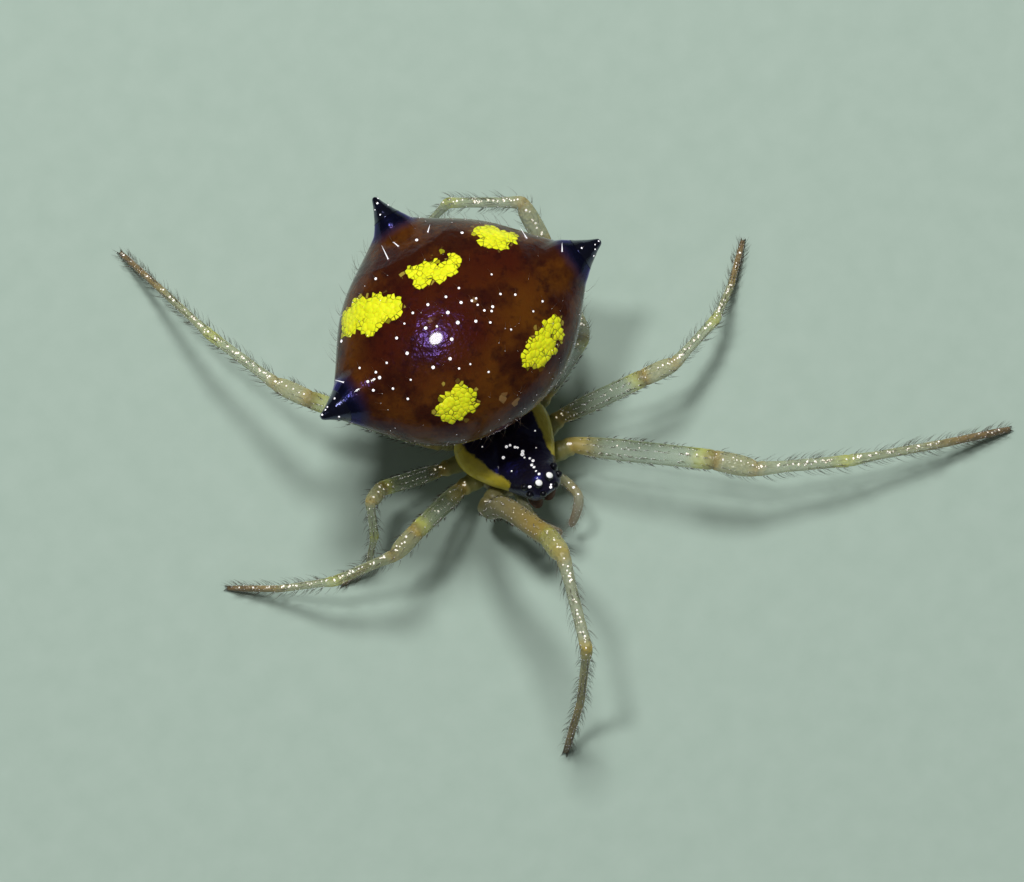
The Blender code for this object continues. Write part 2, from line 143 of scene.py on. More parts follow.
class Finish:
    def __init__(self, name, shine, coat=(0, 0.03, 1.5), wax=(0, (1, 1, 1)), tint=(1, 1, 1), paintedGlow=0):
        self.material = bpy.data.materials.new(name)
        self.material.use_nodes = True
        self.tree = self.material.node_tree
        self.shader = self.tree.nodes["Principled BSDF"]
        values = {
            "Specular IOR Level": shine,
            "Specular Tint": (*tint, 1),
            "Coat Weight": coat[0],
            "Coat Roughness": coat[1],
            "Coat IOR": coat[2],
            "Subsurface Weight": wax[0],
            "Subsurface Radius": wax[1],
            "Subsurface Scale": 0.0001,
            "Emission Strength": paintedGlow,
        }
        for socket, value in values.items():
            self.shader.inputs[socket].default_value = value

    def node(self, kind, settings={}, glintSockets={}, output=0):
        made = self.tree.nodes.new(kind)
        for name, value in settings.items():
            setattr(made, name, value)
        for name, value in glintSockets.items():
            if isinstance(value, Signal):
                self.tree.links.new(value.socket, made.inputs[name])
            else:
                made.inputs[name].default_value = value
        return Signal(self, made.outputs[output])

    # the surface's place in millimetres from a centre, turned about the vertical
    def placeFrom(self, centre=Vector((0, 0, 0)), turn=0.0):
        place = self.node("ShaderNodeTexCoord", output="Object")
        values = {"Location": bodyPlace + centre * mm, "Rotation": (0, 0, turn), "Scale": (mm, mm, mm)}
        return self.node("ShaderNodeMapping", {"vector_type": "TEXTURE"}, {"Vector": place, **values})

    def attribute(self, name):
        return self.node("ShaderNodeAttribute", {"attribute_name": name}, output="Fac")

    # colours at places from 0 to 1
    def ramp(self, place, stops):
        made = self.node("ShaderNodeValToRGB", {}, {"Fac": place})
        elements = made.socket.node.color_ramp.elements
        elements.remove(elements[1])
        elements[0].position, elements[0].color = stops[0][0], (*stops[0][1], 1)
        for spot, colour in stops[1:]:
            elements.new(spot).color = (*colour, 1)
        return made

    def mix(self, share, first, second):
        first, second = (value if isinstance(value, Signal) else (*value, 1) for value in (first, second))
        return self.node("ShaderNodeMix", {"data_type": "RGBA"}, {0: share, 6: first, 7: second}, 2)

    def feed(self, socket, value):
        self.tree.links.new(value.socket, self.shader.inputs[socket])

    # height is in millimetres
    def wear(self, colour, roughness, height=None):
        self.feed("Base Color", colour)
        self.feed("Roughness", roughness)
        if height:
            self.feed("Normal", self.node("ShaderNodeBump", {}, {"Height": height, "Distance": mm}))


# Making pieces

def finishPiece(name, bm, finish, nodes=()):
    bmesh.ops.recalc_face_normals(bm, faces=bm.faces)
    bmesh.ops.scale(bm, vec=(mm, mm, mm), verts=bm.verts)
    bmesh.ops.translate(bm, vec=bodyPlace, verts=bm.verts)
    mesh = bpy.data.meshes.new(name)
    bm.to_mesh(mesh)
    bm.free()
    addPiece(name, mesh, finish, nodes)


def addPiece(name, mesh, finish, nodes=()):
    mesh.shade_smooth()
    mesh.materials.append(finish.material)
    piece = bpy.data.objects.new(name, mesh)
    scene.collection.objects.link(piece)
    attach(piece, "root")
    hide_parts(*nodes)


# smooth values at a place along stations whose first entry is their own place
def between(stations, place):
    place = min(max(place, stations[0][0]), stations[-1][0])
    index = max(i for i in range(len(stations) - 1) if stations[i][0] <= place)
    before = stations[max(index - 1, 0)]
    start, end = stations[index], stations[index + 1]
    after = stations[min(index + 2, len(stations) - 1)]
    span = end[0] - start[0]
    t = (place - start[0]) / span
    values = []
    for a, b, c, d in zip(before[1:], start[1:], end[1:], after[1:]):
        slopeStart = span * (c - a) / (end[0] - before[0])
        slopeEnd = span * (d - b) / (after[0] - start[0])
        near = b * (2 * t**3 - 3 * t**2 + 1) + slopeStart * (t**3 - 2 * t**2 + t)
        far = c * (3 * t**2 - 2 * t**3) + slopeEnd * (t**3 - t**2)
        values.append(near + far)
    return values


# a direction from its turn about the vertical and its pitch, in degrees
def heading(turn, pitch):
    turn, pitch = math.radians(turn), math.radians(pitch)
    level = math.cos(pitch)
    return Vector((math.cos(turn) * level, math.sin(turn) * level, math.sin(pitch)))


def jitter(dice, reach):
    return Vector([dice.uniform(-reach, reach) for _ in range(3)])


# a ring pushed from station to station, each (centre, direction, radius, mark)
def sweep(bm, stations, sides=24):
    marks = bm.verts.layers.float.get("along") or bm.verts.layers.float.new("along")
    verts = bmesh.ops.create_circle(bm, cap_ends=True, segments=sides, radius=1)["verts"]
    edges = list({edge for vert in verts for edge in vert.link_edges})
    turn = stations[0][1].to_track_quat("Z", "Y")
    last = Matrix.Identity(4)
    lastDirection = stations[0][1]
    for index, (centre, direction, radius, mark) in enumerate(stations):
        if index:
            made = bmesh.ops.extrude_edge_only(bm, edges=edges)["geom"]
            verts = [part for part in made if isinstance(part, bmesh.types.BMVert)]
            kept = set(verts)
            made = [part for part in made if isinstance(part, bmesh.types.BMEdge)]
            edges = [edge for edge in made if kept.issuperset(edge.verts)]
            turn = lastDirection.rotation_difference(direction) @ turn
        place = Matrix.Translation(centre) @ turn.to_matrix().to_4x4() @ Matrix.Scale(radius, 4)
        bmesh.ops.transform(bm, matrix=place @ last.inverted(), verts=verts)
        for vert in verts:
            vert[marks] = mark
        last = place
        lastDirection = direction
    bmesh.ops.contextual_create(bm, geom=edges)
    return bm


# stations about a step apart on a smooth line through points
def stationsAlong(points, radii, step, marks=None):
    marks = marks or range(len(points))
    table = [(i, *point, radius, mark) for i, (point, radius, mark) in enumerate(zip(points, radii, marks))]
    length = sum((Vector(b) - Vector(a)).length for a, b in zip(points, points[1:]))
    count = max(4, round(length / step))
    last = len(points) - 1
    stations = []
    for i in range(count + 1):
        share = last * i / count
        x, y, z, radius, mark = between(table, share)
        ahead = Vector(between(table, min(share + 0.05, last))[:3])
        behind = Vector(between(table, max(share - 0.05, 0))[:3])
        stations.append((Vector((x, y, z)), (ahead - behind).normalized(), radius, mark))
    return stations


# three more stations that round the end off
def roundEnd(stations):
    centre, direction, radius, mark = stations[-1]
    for i in (1, 2, 3):
        angle = 0.5 * math.pi * i / 3.4
        place = centre + direction * radius * math.sin(angle)
        stations.append((place, direction, radius * math.cos(angle), mark))
    return stations


def fillHoles(bm):
    bmesh.ops.holes_fill(bm, edges=[edge for edge in bm.edges if edge.is_boundary], sides=0)


# a profile of (distance along the axis, radius), spun round the axis from its start
def spun(profile, start, axis):
    bm = bmesh.new()
    verts = [bm.verts.new((radius, 0, height)) for height, radius in profile]
    edges = [bm.edges.new(pair) for pair in zip(verts, verts[1:])]
    turn = {"cent": (0, 0, 0), "axis": (0, 0, 1), "angle": math.tau, "steps": 48}
    bmesh.ops.spin(bm, geom=verts + edges, use_merge=True, **turn)
    bmesh.ops.remove_doubles(bm, verts=bm.verts, dist=1e-5)
    fillHoles(bm)
    bmesh.ops.rotate(bm, matrix=axis.to_track_quat("Z", "Y").to_matrix(), verts=bm.verts)
    bmesh.ops.translate(bm, vec=start, verts=bm.verts)
    return bm


# Setae: one tapered, bent spike copied to each root, with a bead where it leaves the skin, which the seta
# finish paints white as a glint.
# A root is (place, way out of the skin, way it leans, length, radius, place on the unwrapped skin).

spike = {
    "sections": [(0.06, 1.0), (0.25, 0.95), (0.6, 0.65), (1.0, 0.12)],  # share of its length, and width
    "beadSections": ((-0.5, 0.9), (0.3, 1.0), (0.8, 0.7), (1.0, 0.2)),  # share of the bead's, and width
    "patch": 0.003,
    "rows": 9,  # round a leg
    "floorGap": 0.01,
    "shortest": 0.02,
}


def plantSetae(name, roots, finish, glintBead, sides=3, lift=0.7, bend=0.6):
    place, out, lean, length, radius, flat = (np.array(part) for part in zip(*roots))
    beadShare = glintBead / length.max()
    beadSections = [(height * beadShare, width) for height, width in spike["beadSections"]]
    sections = np.array(beadSections + spike["sections"])
    isBead = np.arange(len(sections)) < len(beadSections)
    rings = len(sections)
    angles = math.tau * np.arange(sides) / sides
    length = length[:, None, None]
    radius = radius[:, None]
    lean -= out * (lean * out).sum(1, keepdims=True)
    lean /= np.linalg.norm(lean, axis=1, keepdims=True)
    side = np.cross(out, lean)
    t = sections[:, 0][None, :, None]
    ahead = np.maximum(t, 0)
    climb = lift * (t - 0.5 * bend * ahead**2)
    reach = (1 - lift) * t + 0.8 * bend * ahead**1.5
    line = place[:, None, :] + length * (climb * out[:, None, :] + reach * lean[:, None, :])
    width = np.where(isBead, glintBead * (radius / np.mean(radius)) ** 2, radius) * sections[:, 1]
    cosines, sines = np.cos(angles)[:, None], np.sin(angles)[:, None]
    across = (out * 0.5 - lean * 0.85)[:, None, :]
    spikeRing = cosines * side[:, None, :] + sines * across
    beadRing = cosines * side[:, None, :] - sines * lean[:, None, :]
    ring = np.where(isBead[None, :, None, None], beadRing[:, None], spikeRing[:, None])
    verts = line[:, :, None, :] + width[:, :, None, None] * ring
    verts = verts.reshape(-1, 3) * mm + np.array(bodyPlace)
    faces = []
    patch = []
    for j in range(rings - 1):
        for k in range(sides):
            corners = ((j, k), (j, k + 1), (j + 1, k + 1), (j + 1, k))
            faces.append([ringIndex * sides + spot % sides for ringIndex, spot in corners])
            patch += [(spot / sides, ringIndex / rings) for ringIndex, spot in corners]
    starts = rings * sides * np.arange(len(roots))
    everyFace = (np.array(faces)[None] + starts[:, None, None]).reshape(-1, 4)
    mesh = bpy.data.meshes.new(name)
    mesh.from_pydata(verts.tolist(), [], everyFace.tolist())
    uvs = flat[:, None, :] + spike["patch"] * (np.array(patch)[None] - 0.5)
    layer = mesh.uv_layers.new(name="OFBake")
    layer.data.foreach_set("uv", uvs.astype(np.float32).ravel())
    marks = mesh.attributes.new("glintBead", "FLOAT", "POINT")
    marks.data.foreach_set("value", np.tile(np.repeat(isBead, sides), len(roots)).astype(np.float32))
    addPiece(name, mesh, finish)


# a seta's root at a place down a swept piece, somewhere round it unless the angle is given
def rootOn(stations, place, dice, length, thickness, flat, angle=None):
    index = min(int(place), len(stations) - 2)
    share = place - index
    before, after = stations[index], stations[index + 1]
    centre = before[0].lerp(after[0], share)
    direction = before[1].lerp(after[1], share).normalized()
    radius = before[2] * (1 - share) + after[2] * share
    if angle is None:
        angle = math.tau * (dice.randrange(spike["rows"]) + dice.uniform(-0.12, 0.12)) / spike["rows"]
    out = Matrix.Rotation(angle, 3, direction) @ direction.cross(up).normalized()
    spot = Vector(flat) + Vector((0, 0.05 * angle / math.tau))
    lean = direction + jitter(dice, 0.2)
    size = length * dice.uniform(0.7, 1.25)
    place = centre + out * radius
    tipHeight = place.z + size * (0.5 * out.z + 0.8 * direction.z)
    if tipHeight < spike["floorGap"]:
        size = spike["shortest"]
    return place, out, lean, size, thickness * dice.uniform(0.8, 1.2), spot


# the beads at the setae's roots are painted white and glow as painted glints of the flash; where a glow is
# given, the shafts glow too as a painted highlight
def setaAndGlintFinish(name, light, dark, paintedGlow=0.0, glintColour=(1.0, 0.97, 1.0)):
    finish = Finish(name, 0.6, coat=(0.8, 0.1, 1.5), paintedGlow=0.7)
    mottle = finish.placeFrom().noise(5, 2)
    glintBead = finish.attribute("glintBead")
    # painted glint: the beads glow white or gold, and the shafts glow only by the given glow
    finish.feed("Emission Color", finish.mix(glintBead, (paintedGlow,) * 3, finish.mix(mottle, (1.0, 1.0, 1.0), glintColour)))
    colour = finish.mix(glintBead, finish.mix(mottle, light, dark), (0.95, 0.93, 0.96))
    finish.wear(colour, 0.25 + 0.2 * mottle)
    return finish


# Abdomen: a glossy dome with yellow cobbled patches, drawn out into the seats of three horns

abdomen = {
    "centre": Vector((0.131, 1.095, 2.00)),
    "turn": math.radians(-4),
    "radius": 1.45,
    "frontFlattening": 0.22,
    "frontTurn": math.radians(5),
    "rise": 0.85,
    "drop": 1.45,
    "lean": 0.35,
    "hornRise": 8,
    "hornRegion": math.radians(26),
    "hornBlend": 0.06,
    "grain": 17.0,
    "skinSteps": 6,
}

# azimuth in degrees, reach to the tip, height of the flare, spread of the flare in degrees, width factor
horns = {
    "left": (1, 2.025, 0.39, 14.5, 1.10),
    "right": (180.4, 2.01, 0.39, 14.5, 1.08),
    "rear": (89, 1.98, 0.29, 12.5, 0.88),
}

# distance from a horn's tip and the skin's radius there, out to where the horn's foot meets the dome
hornRoot = (
    (0.25, 0.158), (0.30, 0.193), (0.34, 0.221), (0.38, 0.248), (0.42, 0.268),
    (0.50, 0.291), (0.60, 0.313), (0.75, 0.345), (0.90, 0.390), (1.10, 0.460),
)

# centres and radii of the clusters that each yellow patch is made of, seen from above the abdomen
patches = {
    "rightRear": (
        (-0.76, 0.67, 0.21), (-0.91, 0.81, 0.19), (-1.05, 0.74, 0.16), (-1.05, 0.85, 0.14),
        (-0.63, 0.58, 0.155), (-0.93, 0.56, 0.14), (-1.15, 0.71, 0.08), (-0.53, 0.57, 0.09),
    ),
    "middleRear": (
        (-0.17, 0.79, 0.10), (-0.14, 0.64, 0.11), (0.00, 0.72, 0.125), (0.08, 0.60, 0.125),
        (0.21, 0.59, 0.12), (0.33, 0.66, 0.10), (0.12, 0.77, 0.05), (-0.22, 0.85, 0.04), (0.29, 0.86, 0.03),
    ),
    "leftRear": (
        (0.85, 0.83, 0.13), (0.95, 0.73, 0.175), (1.06, 0.62, 0.135),
        (0.84, 0.65, 0.12), (0.92, 0.54, 0.10), (0.95, 0.85, 0.09),
    ),
    "leftFront": (
        (0.94, -0.60, 0.11), (0.84, -0.61, 0.095), (0.72, -0.69, 0.125), (0.74, -0.79, 0.125),
        (0.58, -0.75, 0.125), (0.46, -0.82, 0.12), (0.57, -0.89, 0.11), (0.37, -0.84, 0.06),
        (0.91, -0.74, 0.08),
    ),
    "rightFront": (
        (-0.50, -0.73, 0.105), (-0.43, -0.82, 0.095), (-0.65, -0.76, 0.12), (-0.53, -0.88, 0.135),
        (-0.76, -0.78, 0.10), (-0.75, -0.88, 0.085), (-0.64, -0.92, 0.095), (-0.42, -0.94, 0.065),
        (-0.63, -0.58, 0.03),
    ),
}
paleSpots = ((-0.07, -1.03, 0.04), (0.06, -1.12, 0.04), (-0.32, 0.14, 0.03), (0.24, 0.07, 0.02))

mahoganyTones = {
    "red": (0.050, 0.008, 0.002),
    "amber": (0.106, 0.034, 0.003),
    "mottles": (0.022, 0.003, 0.002),
    "flecks": (0.012, 0.002, 0.002),
    "belly": (0.16, 0.08, 0.05),
    "hornFoot": (0.020, 0.022, 0.085),  # a dark sheen, like tinted metal
    "looseGrains": (0.50, 0.40, 0.06),
    "gapsAndShade": ((0.88, 0.90, 0.01), (0.62, 0.64, 0.006)),
    "grains": ((0.80, 0.84, 0.012), (0.94, 0.96, 0.02)),
    "paleSpots": (0.40, 0.24, 0.09),
}

# bands by distance from a horn's tip where the gloss is turned: from, to, slope
hornFacets = {"flatter": (0.24, 0.52, 0.27), "steeper": (0.54, 1.0, 0.17)}


def hornAxis(azimuth):
    return heading(azimuth, abdomen["hornRise"])


# the dome's radius at its rim, less in front
def levelRadius(x, y):
    ahead = x * math.sin(abdomen["frontTurn"]) - y * math.cos(abdomen["frontTurn"])
    front = max(0.0, ahead / max(1e-6, math.hypot(x, y)))
    return abdomen["radius"] - abdomen["frontFlattening"] * front**2


# where a direction from the abdomen's centre meets its skin
def abdomenPoint(unit):
    radius = levelRadius(unit.x, unit.y)
    flare = 0.0
    roundness = 0.0
    for azimuth, reach, height, spread, width in horns.values():
        share = math.exp(-((unit.angle(hornAxis(azimuth)) / math.radians(spread)) ** 1.3))
        flare += height * (share - 0.2 * share**4)
        roundness += share
    if unit.z >= 0:
        tall = abdomen["rise"] * (1 + 0.5 * min(1, roundness))
        point = Vector((unit.x * radius, unit.y * radius, unit.z * tall))
    else:
        depth = math.asin(-unit.z) / (math.pi / 2)
        plan = max(0, 1 - depth**2) ** 0.75 / max(1e-6, math.hypot(unit.x, unit.y))
        point = Vector((unit.x * plan * radius, unit.y * plan * radius, -abdomen["drop"] * depth))
        point.y += abdomen["lean"] * depth**1.2
    return point + Vector((unit.x, unit.y, 0.35 * unit.z)) * flare


# the larger of two lengths, rounded off where they are nearly the same
def softMost(first, second, blend):
    near = max(blend - abs(first - second), 0) / blend
    return max(first, second) + near * near * blend / 4


# the skin drawn out round the foot of each horn
def raiseHornRoots(place):
    for azimuth, reach, height, spread, width in horns.values():
        angle = place.angle(hornAxis(azimuth))
        if angle > abdomen["hornRegion"]:
            continue
        angles = [math.atan2(radius * width, reach - depth) for depth, radius in hornRoot]
        lengths = [math.hypot(radius * width, reach - depth) for depth, radius in hornRoot]
        if angle < angles[0]:
            length = (reach - hornRoot[0][0]) / math.cos(angle)
        else:
            foot = float(np.interp(angle, angles, lengths))
            length = softMost(place.length, foot, abdomen["hornBlend"])
        place = place.normalized() * length
    return place


def toBody(place):
    return abdomen["centre"] + Matrix.Rotation(abdomen["turn"], 3, "Z") @ place


# the dome's point over a place seen from above
def domePoint(x, y):
    height = math.sqrt(max(0.0, 1 - (x * x + y * y) / levelRadius(x, y) ** 2))
    return Vector((x, y, height * abdomen["rise"]))


# height that turns the gloss at a horn's foot towards its tip
def hornFacet(place):
    away = 9.0
    for azimuth, reach, *_ in horns.values():
        away = place.distance(hornAxis(azimuth) * reach).least(away)
    flatter, steeper = (away.most(start).least(end) * slope for start, end, slope in hornFacets.values())
    return steeper - flatter


# how far a grain lies outside the nearest cluster
def outsideOf(clusters, cell):
    outside = 9.0
    for x, y, radius in clusters:
        outside = (cell.distance(domePoint(x, y)) - radius).least(outside)
    return outside


def mahogany():
    tones = mahoganyTones
    wax = (0.25, (1.0, 0.35, 0.15))
    finish = Finish("mahoganyCuticle", 0.22, (0.5, 0.05, 1.36), wax, tint=(0.42, 0.25, 1.0))
    place = finish.placeFrom(abdomen["centre"], abdomen["turn"])
    mottle = place.noise(1.6, 4, 0.6)
    fine = place.noise(8, 3, 0.6)
    fromTop = place.distance(Vector((0, 0, abdomen["rise"])))
    broad = place.noise(0.7, 2) - 0.14 * place.axis(1) + 0.20 * (fromTop - 0.7)
    colour = finish.mix(broad.rise(0.34, 0.66), tones["red"], tones["amber"])
    colour = finish.mix(mottle.rise(0.42, 0.62) * 0.8, colour, tones["mottles"])
    colour = finish.mix(fine.rise(0.50, 0.70) * 0.5, colour, tones["flecks"])
    colour = finish.mix(place.axis(2).rise(0.20, -0.25) * 0.5, colour, tones["belly"])

    # black round the horns
    black = 0
    for azimuth, reach, *_ in horns.values():
        away = place.distance(hornAxis(azimuth) * reach) + (fine - 0.5) * 0.10 + (mottle - 0.5) * 0.08
        black = away.rise(0.64, 0.44).most(black)
    colour = finish.mix(black, colour, tones["hornFoot"])

    # yellow grains: a cell is coloured whole, by where its own centre lies
    voronoi = {"Vector": place, "Scale": abdomen["grain"], "Randomness": 0.85}
    cell = finish.node("ShaderNodeTexVoronoi", {}, voronoi, "Position")
    middle = finish.node("ShaderNodeTexVoronoi", {}, voronoi, "Distance")
    edge = finish.node("ShaderNodeTexVoronoi", {"feature": "DISTANCE_TO_EDGE"}, voronoi, "Distance")
    shade = finish.node("ShaderNodeTexWhiteNoise", {}, {"Vector": cell}, "Value")
    outside = outsideOf(sum(patches.values(), ()), cell)
    crevice = edge.rise(0.0, 0.10)
    grain = outside.rise(0.006, 0.0) * (1 - (1 - crevice) * outside.rise(-0.07, 0.0))
    loose = (outside + shade * 0.06).rise(0.04, 0.03) * edge.rise(0.08, 0.20)
    colour = finish.mix(loose * 0.7, colour, tones["looseGrains"])
    # the gaps between grains take these duller tones: partly the grains' own colour, partly painted shade
    # between the domed grains
    gapAndShadeColour = finish.mix(place.noise(13, 2).rise(0.52, 0.66), *tones["gapsAndShade"])
    colour = finish.mix(grain, colour, finish.mix(crevice, gapAndShadeColour, finish.mix(shade, *tones["grains"])))
    spots = outsideOf(paleSpots, cell).rise(0.02, 0.0)
    colour = finish.mix(spots * 0.6, colour, tones["paleSpots"])
    finish.feed("Metallic", black * 0.95)
    relief = place.noise(24, 2) * 0.0020 + place.noise(5, 3, 0.6) * 0.020
    height = grain * (0.016 - 0.016 * middle * middle) + relief + hornFacet(place)
    finish.wear(colour, 0.12 + 0.16 * fine + 0.25 * grain, height)
    return finish


def hornCuticle():
    finish = Finish("hornCuticle", 1.0, (0.55, 0.06, 1.42), tint=(0.45, 0.48, 1.0))
    place = finish.placeFrom(abdomen["centre"], abdomen["turn"])
    fine = place.noise(14, 3, 0.6)
    colour = finish.mix(fine.rise(0.4, 0.7), (0.0012, 0.0012, 0.003), (0.0015, 0.0015, 0.006))
    finish.wear(colour, 0.13 + 0.12 * fine, fine * 0.006 + hornFacet(place))
    return finish


def buildAbdomen():
    bm = bmesh.new()
    bmesh.ops.create_icosphere(bm, subdivisions=abdomen["skinSteps"], radius=1)
    axes = [hornAxis(azimuth) for azimuth, *_ in horns.values()]
    near = abdomen["hornRegion"] * 0.8
    nearHorn = [edge for edge in bm.edges if min(edge.verts[0].co.angle(axis) for axis in axes) < near]
    bmesh.ops.subdivide_edges(bm, edges=nearHorn, cuts=1, use_grid_fill=True)
    bmesh.ops.triangulate(bm, faces=[face for face in bm.faces if len(face.verts) > 4])
    for vert in bm.verts:
        vert.co = toBody(raiseHornRoots(abdomenPoint(vert.co.normalized())))
    bmesh.ops.recalc_face_normals(bm, faces=bm.faces)
    skin = BVHTree.FromBMesh(bm)
    finishPiece("abdomenSkin", bm, mahogany(), ("abdomen",))
    return skin


# distance from the tip, and radius there
hornProfile = (
    (0.000, 0.000), (0.005, 0.018), (0.020, 0.034), (0.055, 0.052),
    (0.110, 0.078), (0.190, 0.125), (0.250, 0.160), (0.300, 0.195),
)
hornSkinGap = 0.002
hornSteps = 48


def buildHorns():
    finish = hornCuticle()
    for name, (azimuth, reach, height, spread, width) in horns.items():
        depths = [hornProfile[-1][0] * (i / hornSteps) ** 1.4 for i in range(1, hornSteps + 1)]
        radii = [max(0, between(hornProfile, depth)[0]) * width + hornSkinGap for depth in depths]
        inner = (depths[-1], radii[-1] - 0.03)
        tip = toBody(hornAxis(azimuth) * reach)
        bm = spun([(0, 0), *zip(depths, radii), inner], tip, abdomen["centre"] - tip)
        finishPiece("horn" + name.capitalize(), bm, finish, ("horn_" + name,))


# Setae of the abdomen: a few shiny ones on the horns and the dome, whose roots carry painted glints, many
# thin ones round its edge, and stout bristles on the rear slope, painted white and glowing as highlight
# streaks

abdomenSetae = {
    "radius": 0.0023,
    "domeLength": 0.10,
    "socket": 0.0155,
    "rimCount": 330,
    "rimLength": 0.27,
    "rimSocket": 0.004,
    "onHorn": 5,
    "hornLength": 0.05,
    "stoutRadius": 0.0075,
    "stoutSocket": 0.010,
}

# places seen from above where a seta stands on the dome, and the size of its socket, which is painted as a
# white glint
domeSetae = (
    (-0.08, -0.06, 1.35), (-0.11, 0.11, 1.3), (-0.43, 0.10, 1.2), (-1.18, -0.05, 1.2), (-0.61, -0.34, 1.25),
    (-0.25, -0.19, 1.25), (-0.77, -0.02, 1.2), (-0.39, -0.37, 1.2), (-1.26, 0.66, 1.15), (0.13, 1.16, 1.1),
    (0.63, 0.94, 1.1), (-1.32, -0.01, 1.0), (0.11, -0.16, 1.1), (0.09, 0.13, 1.1), (-1.32, -0.13, 1.0),
    (0.38, -0.11, 1.05), (-0.77, 0.21, 1.05), (-0.25, 0.33, 1.05), (-0.54, 1.02, 1.0), (0.21, 0.08, 0.9),
    (-1.18, 0.03, 0.9), (0.34, -0.15, 0.9), (-0.02, 0.29, 0.95), (0.27, -0.10, 0.9), (-0.31, 0.04, 0.8),
    (-0.45, 0.35, 0.9), (0.25, -0.26, 0.9), (0.27, 0.08, 0.85), (-1.04, -0.45, 0.9), (0.55, -0.02, 0.85),
    (0.24, 0.00, 0.8), (-1.02, 0.04, 0.8), (-0.36, -0.52, 0.85), (-1.12, -0.25, 0.85), (0.17, 0.30, 0.85),
    (0.70, -0.11, 0.85), (0.95, -0.32, 0.8), (-1.30, 0.20, 0.8), (-0.08, -0.73, 0.8), (0.78, -0.38, 0.75),
    (-0.22, -0.55, 0.7), (-0.90, -0.30, 0.7), (0.42, -0.45, 0.7), (-0.60, 0.30, 0.7), (0.60, 0.25, 0.7),
)

# each (x, y) of a bristle's root and (x, y) that it leans to
stoutSetae = (
    ((-0.09, 1.22), (-0.11, 1.42)), ((-0.28, 1.15), (-0.22, 1.41)), ((1.26, 0.51), (1.30, 0.74)),
    ((1.50, 0.10), (1.57, 0.21)), ((0.30, 1.18), (0.40, 1.28)), ((-1.55, 0.16), (-1.62, 0.30)),
)


# the skin's point and way out under a place seen from above, and its place on the unwrapped skin
def onDome(skin, x, y):
    place, out, *_ = skin.ray_cast(toBody(Vector((x, y, 0))) + up * 3, -up)
    return place, out, Vector((0.5 + x / 4, 0.25 + y / 8))


def buildAbdomenSetae(skin):
    dice = random.Random(3)
    dark = setaAndGlintFinish("abdomenSeta", (0.10, 0.055, 0.035), (0.05, 0.025, 0.018))
    roots = hornSetaRoots(dice)
    for x, y, size in domeSetae:
        place, out, flat = onDome(skin, x, y)
        lean = jitter(dice, 0.4) + Vector((0, 0.8, 0))
        roots.append((place, out, lean, abdomenSetae["domeLength"], abdomenSetae["radius"] * size**0.5, flat))
    plantSetae("abdomenSetae", roots, dark, abdomenSetae["socket"], 6)
    plantSetae("abdomenRimSetae", rimSetaRoots(skin, dice), dark, abdomenSetae["rimSocket"])

    roots = []
    for root, tip in stoutSetae:
        place, out, flat = onDome(skin, *root)
        way = toBody(Vector((*tip, 0))) - toBody(Vector((*root, 0)))
        along = way.normalized()
        along.z -= (out.x * along.x + out.y * along.y) / out.z  # it lies along the slope
        radius = abdomenSetae["stoutRadius"]
        roots.append((place + out * 0.006, along.normalized(), out, way.length, radius, flat))
    # painted highlight: the stout bristles are white and glow, standing in for streaks of the flash
    glintWhite = setaAndGlintFinish("stoutSetaGlint", (0.95, 0.93, 0.96), (0.80, 0.76, 0.84), 0.6)
    plantSetae("abdomenBristles", roots, glintWhite, abdomenSetae["stoutSocket"], 6, 1.0, 0.0)


def hornSetaRoots(dice):
    spin = Matrix.Rotation(abdomen["turn"], 3, "Z")
    roots = []
    for azimuth, reach, height, spread, width in horns.values():
        axis = hornAxis(azimuth)
        across = axis.cross(up).normalized()
        for i in range(abdomenSetae["onHorn"]):
            depth = 0.02 + 0.05 * i + dice.uniform(0, 0.03)
            out = Matrix.Rotation(dice.uniform(-1.2, 1.2), 3, axis) @ across.cross(axis)
            radius = between(hornProfile, depth)[0] * width + hornSkinGap
            place = toBody(axis * (reach - depth) + out * radius)
            flat = Vector((0.5 + azimuth / 360, 0.95 + depth / 10))
            way = spin @ (out + axis * 0.5).normalized()
            thickness = dice.uniform(0.0015, 0.0021)
            roots.append((place, way, spin @ axis, abdomenSetae["hornLength"], thickness, flat))
    return roots


# more of them where the skin is steep
def rimSetaRoots(skin, dice):
    roots = []
    while len(roots) < abdomenSetae["rimCount"]:
        towards = Vector([dice.gauss(0, 1) for _ in range(3)]).normalized()
        nearest = min(towards.angle(hornAxis(azimuth)) for azimuth, *_ in horns.values())
        if towards.z < -0.8 or nearest < math.radians(3):
            continue
        place, out, *_ = skin.ray_cast(abdomen["centre"], towards)
        edge = 1 - abs(out.z)
        if dice.random() > 0.05 + 1.4 * edge**1.5:
            continue
        lean = Vector((towards.x * 0.5, towards.y * 0.5 + 0.6, 0.1)) + jitter(dice, 0.3)
        around = math.atan2(towards.y, towards.x) / math.tau
        flat = Vector((0.5 + around, 0.75 + math.asin(towards.z) / math.tau))
        length = abdomenSetae["rimLength"] * (0.3 + 0.7 * edge) * dice.uniform(0.75, 1.25)
        roots.append((place, out, lean, length, abdomenSetae["radius"] * dice.uniform(0.5, 1.0), flat))
    return roots


# Carapace: stations along the body, each (y, half width, top, bottom)

carapaceStations = (
    (-0.85, 0.12, 1.13, 1.02),
    (-0.80, 0.19, 1.16, 0.93),
    (-0.70, 0.24, 1.21, 0.84),
    (-0.60, 0.29, 1.21, 0.79),
    (-0.48, 0.35, 1.14, 0.77),
    (-0.25, 0.50, 1.07, 0.76),
    (0.05, 0.62, 1.07, 0.76),
    (0.30, 0.57, 1.03, 0.76),
    (0.50, 0.38, 0.93, 0.77),
    (0.60, 0.20, 0.88, 0.79),
)

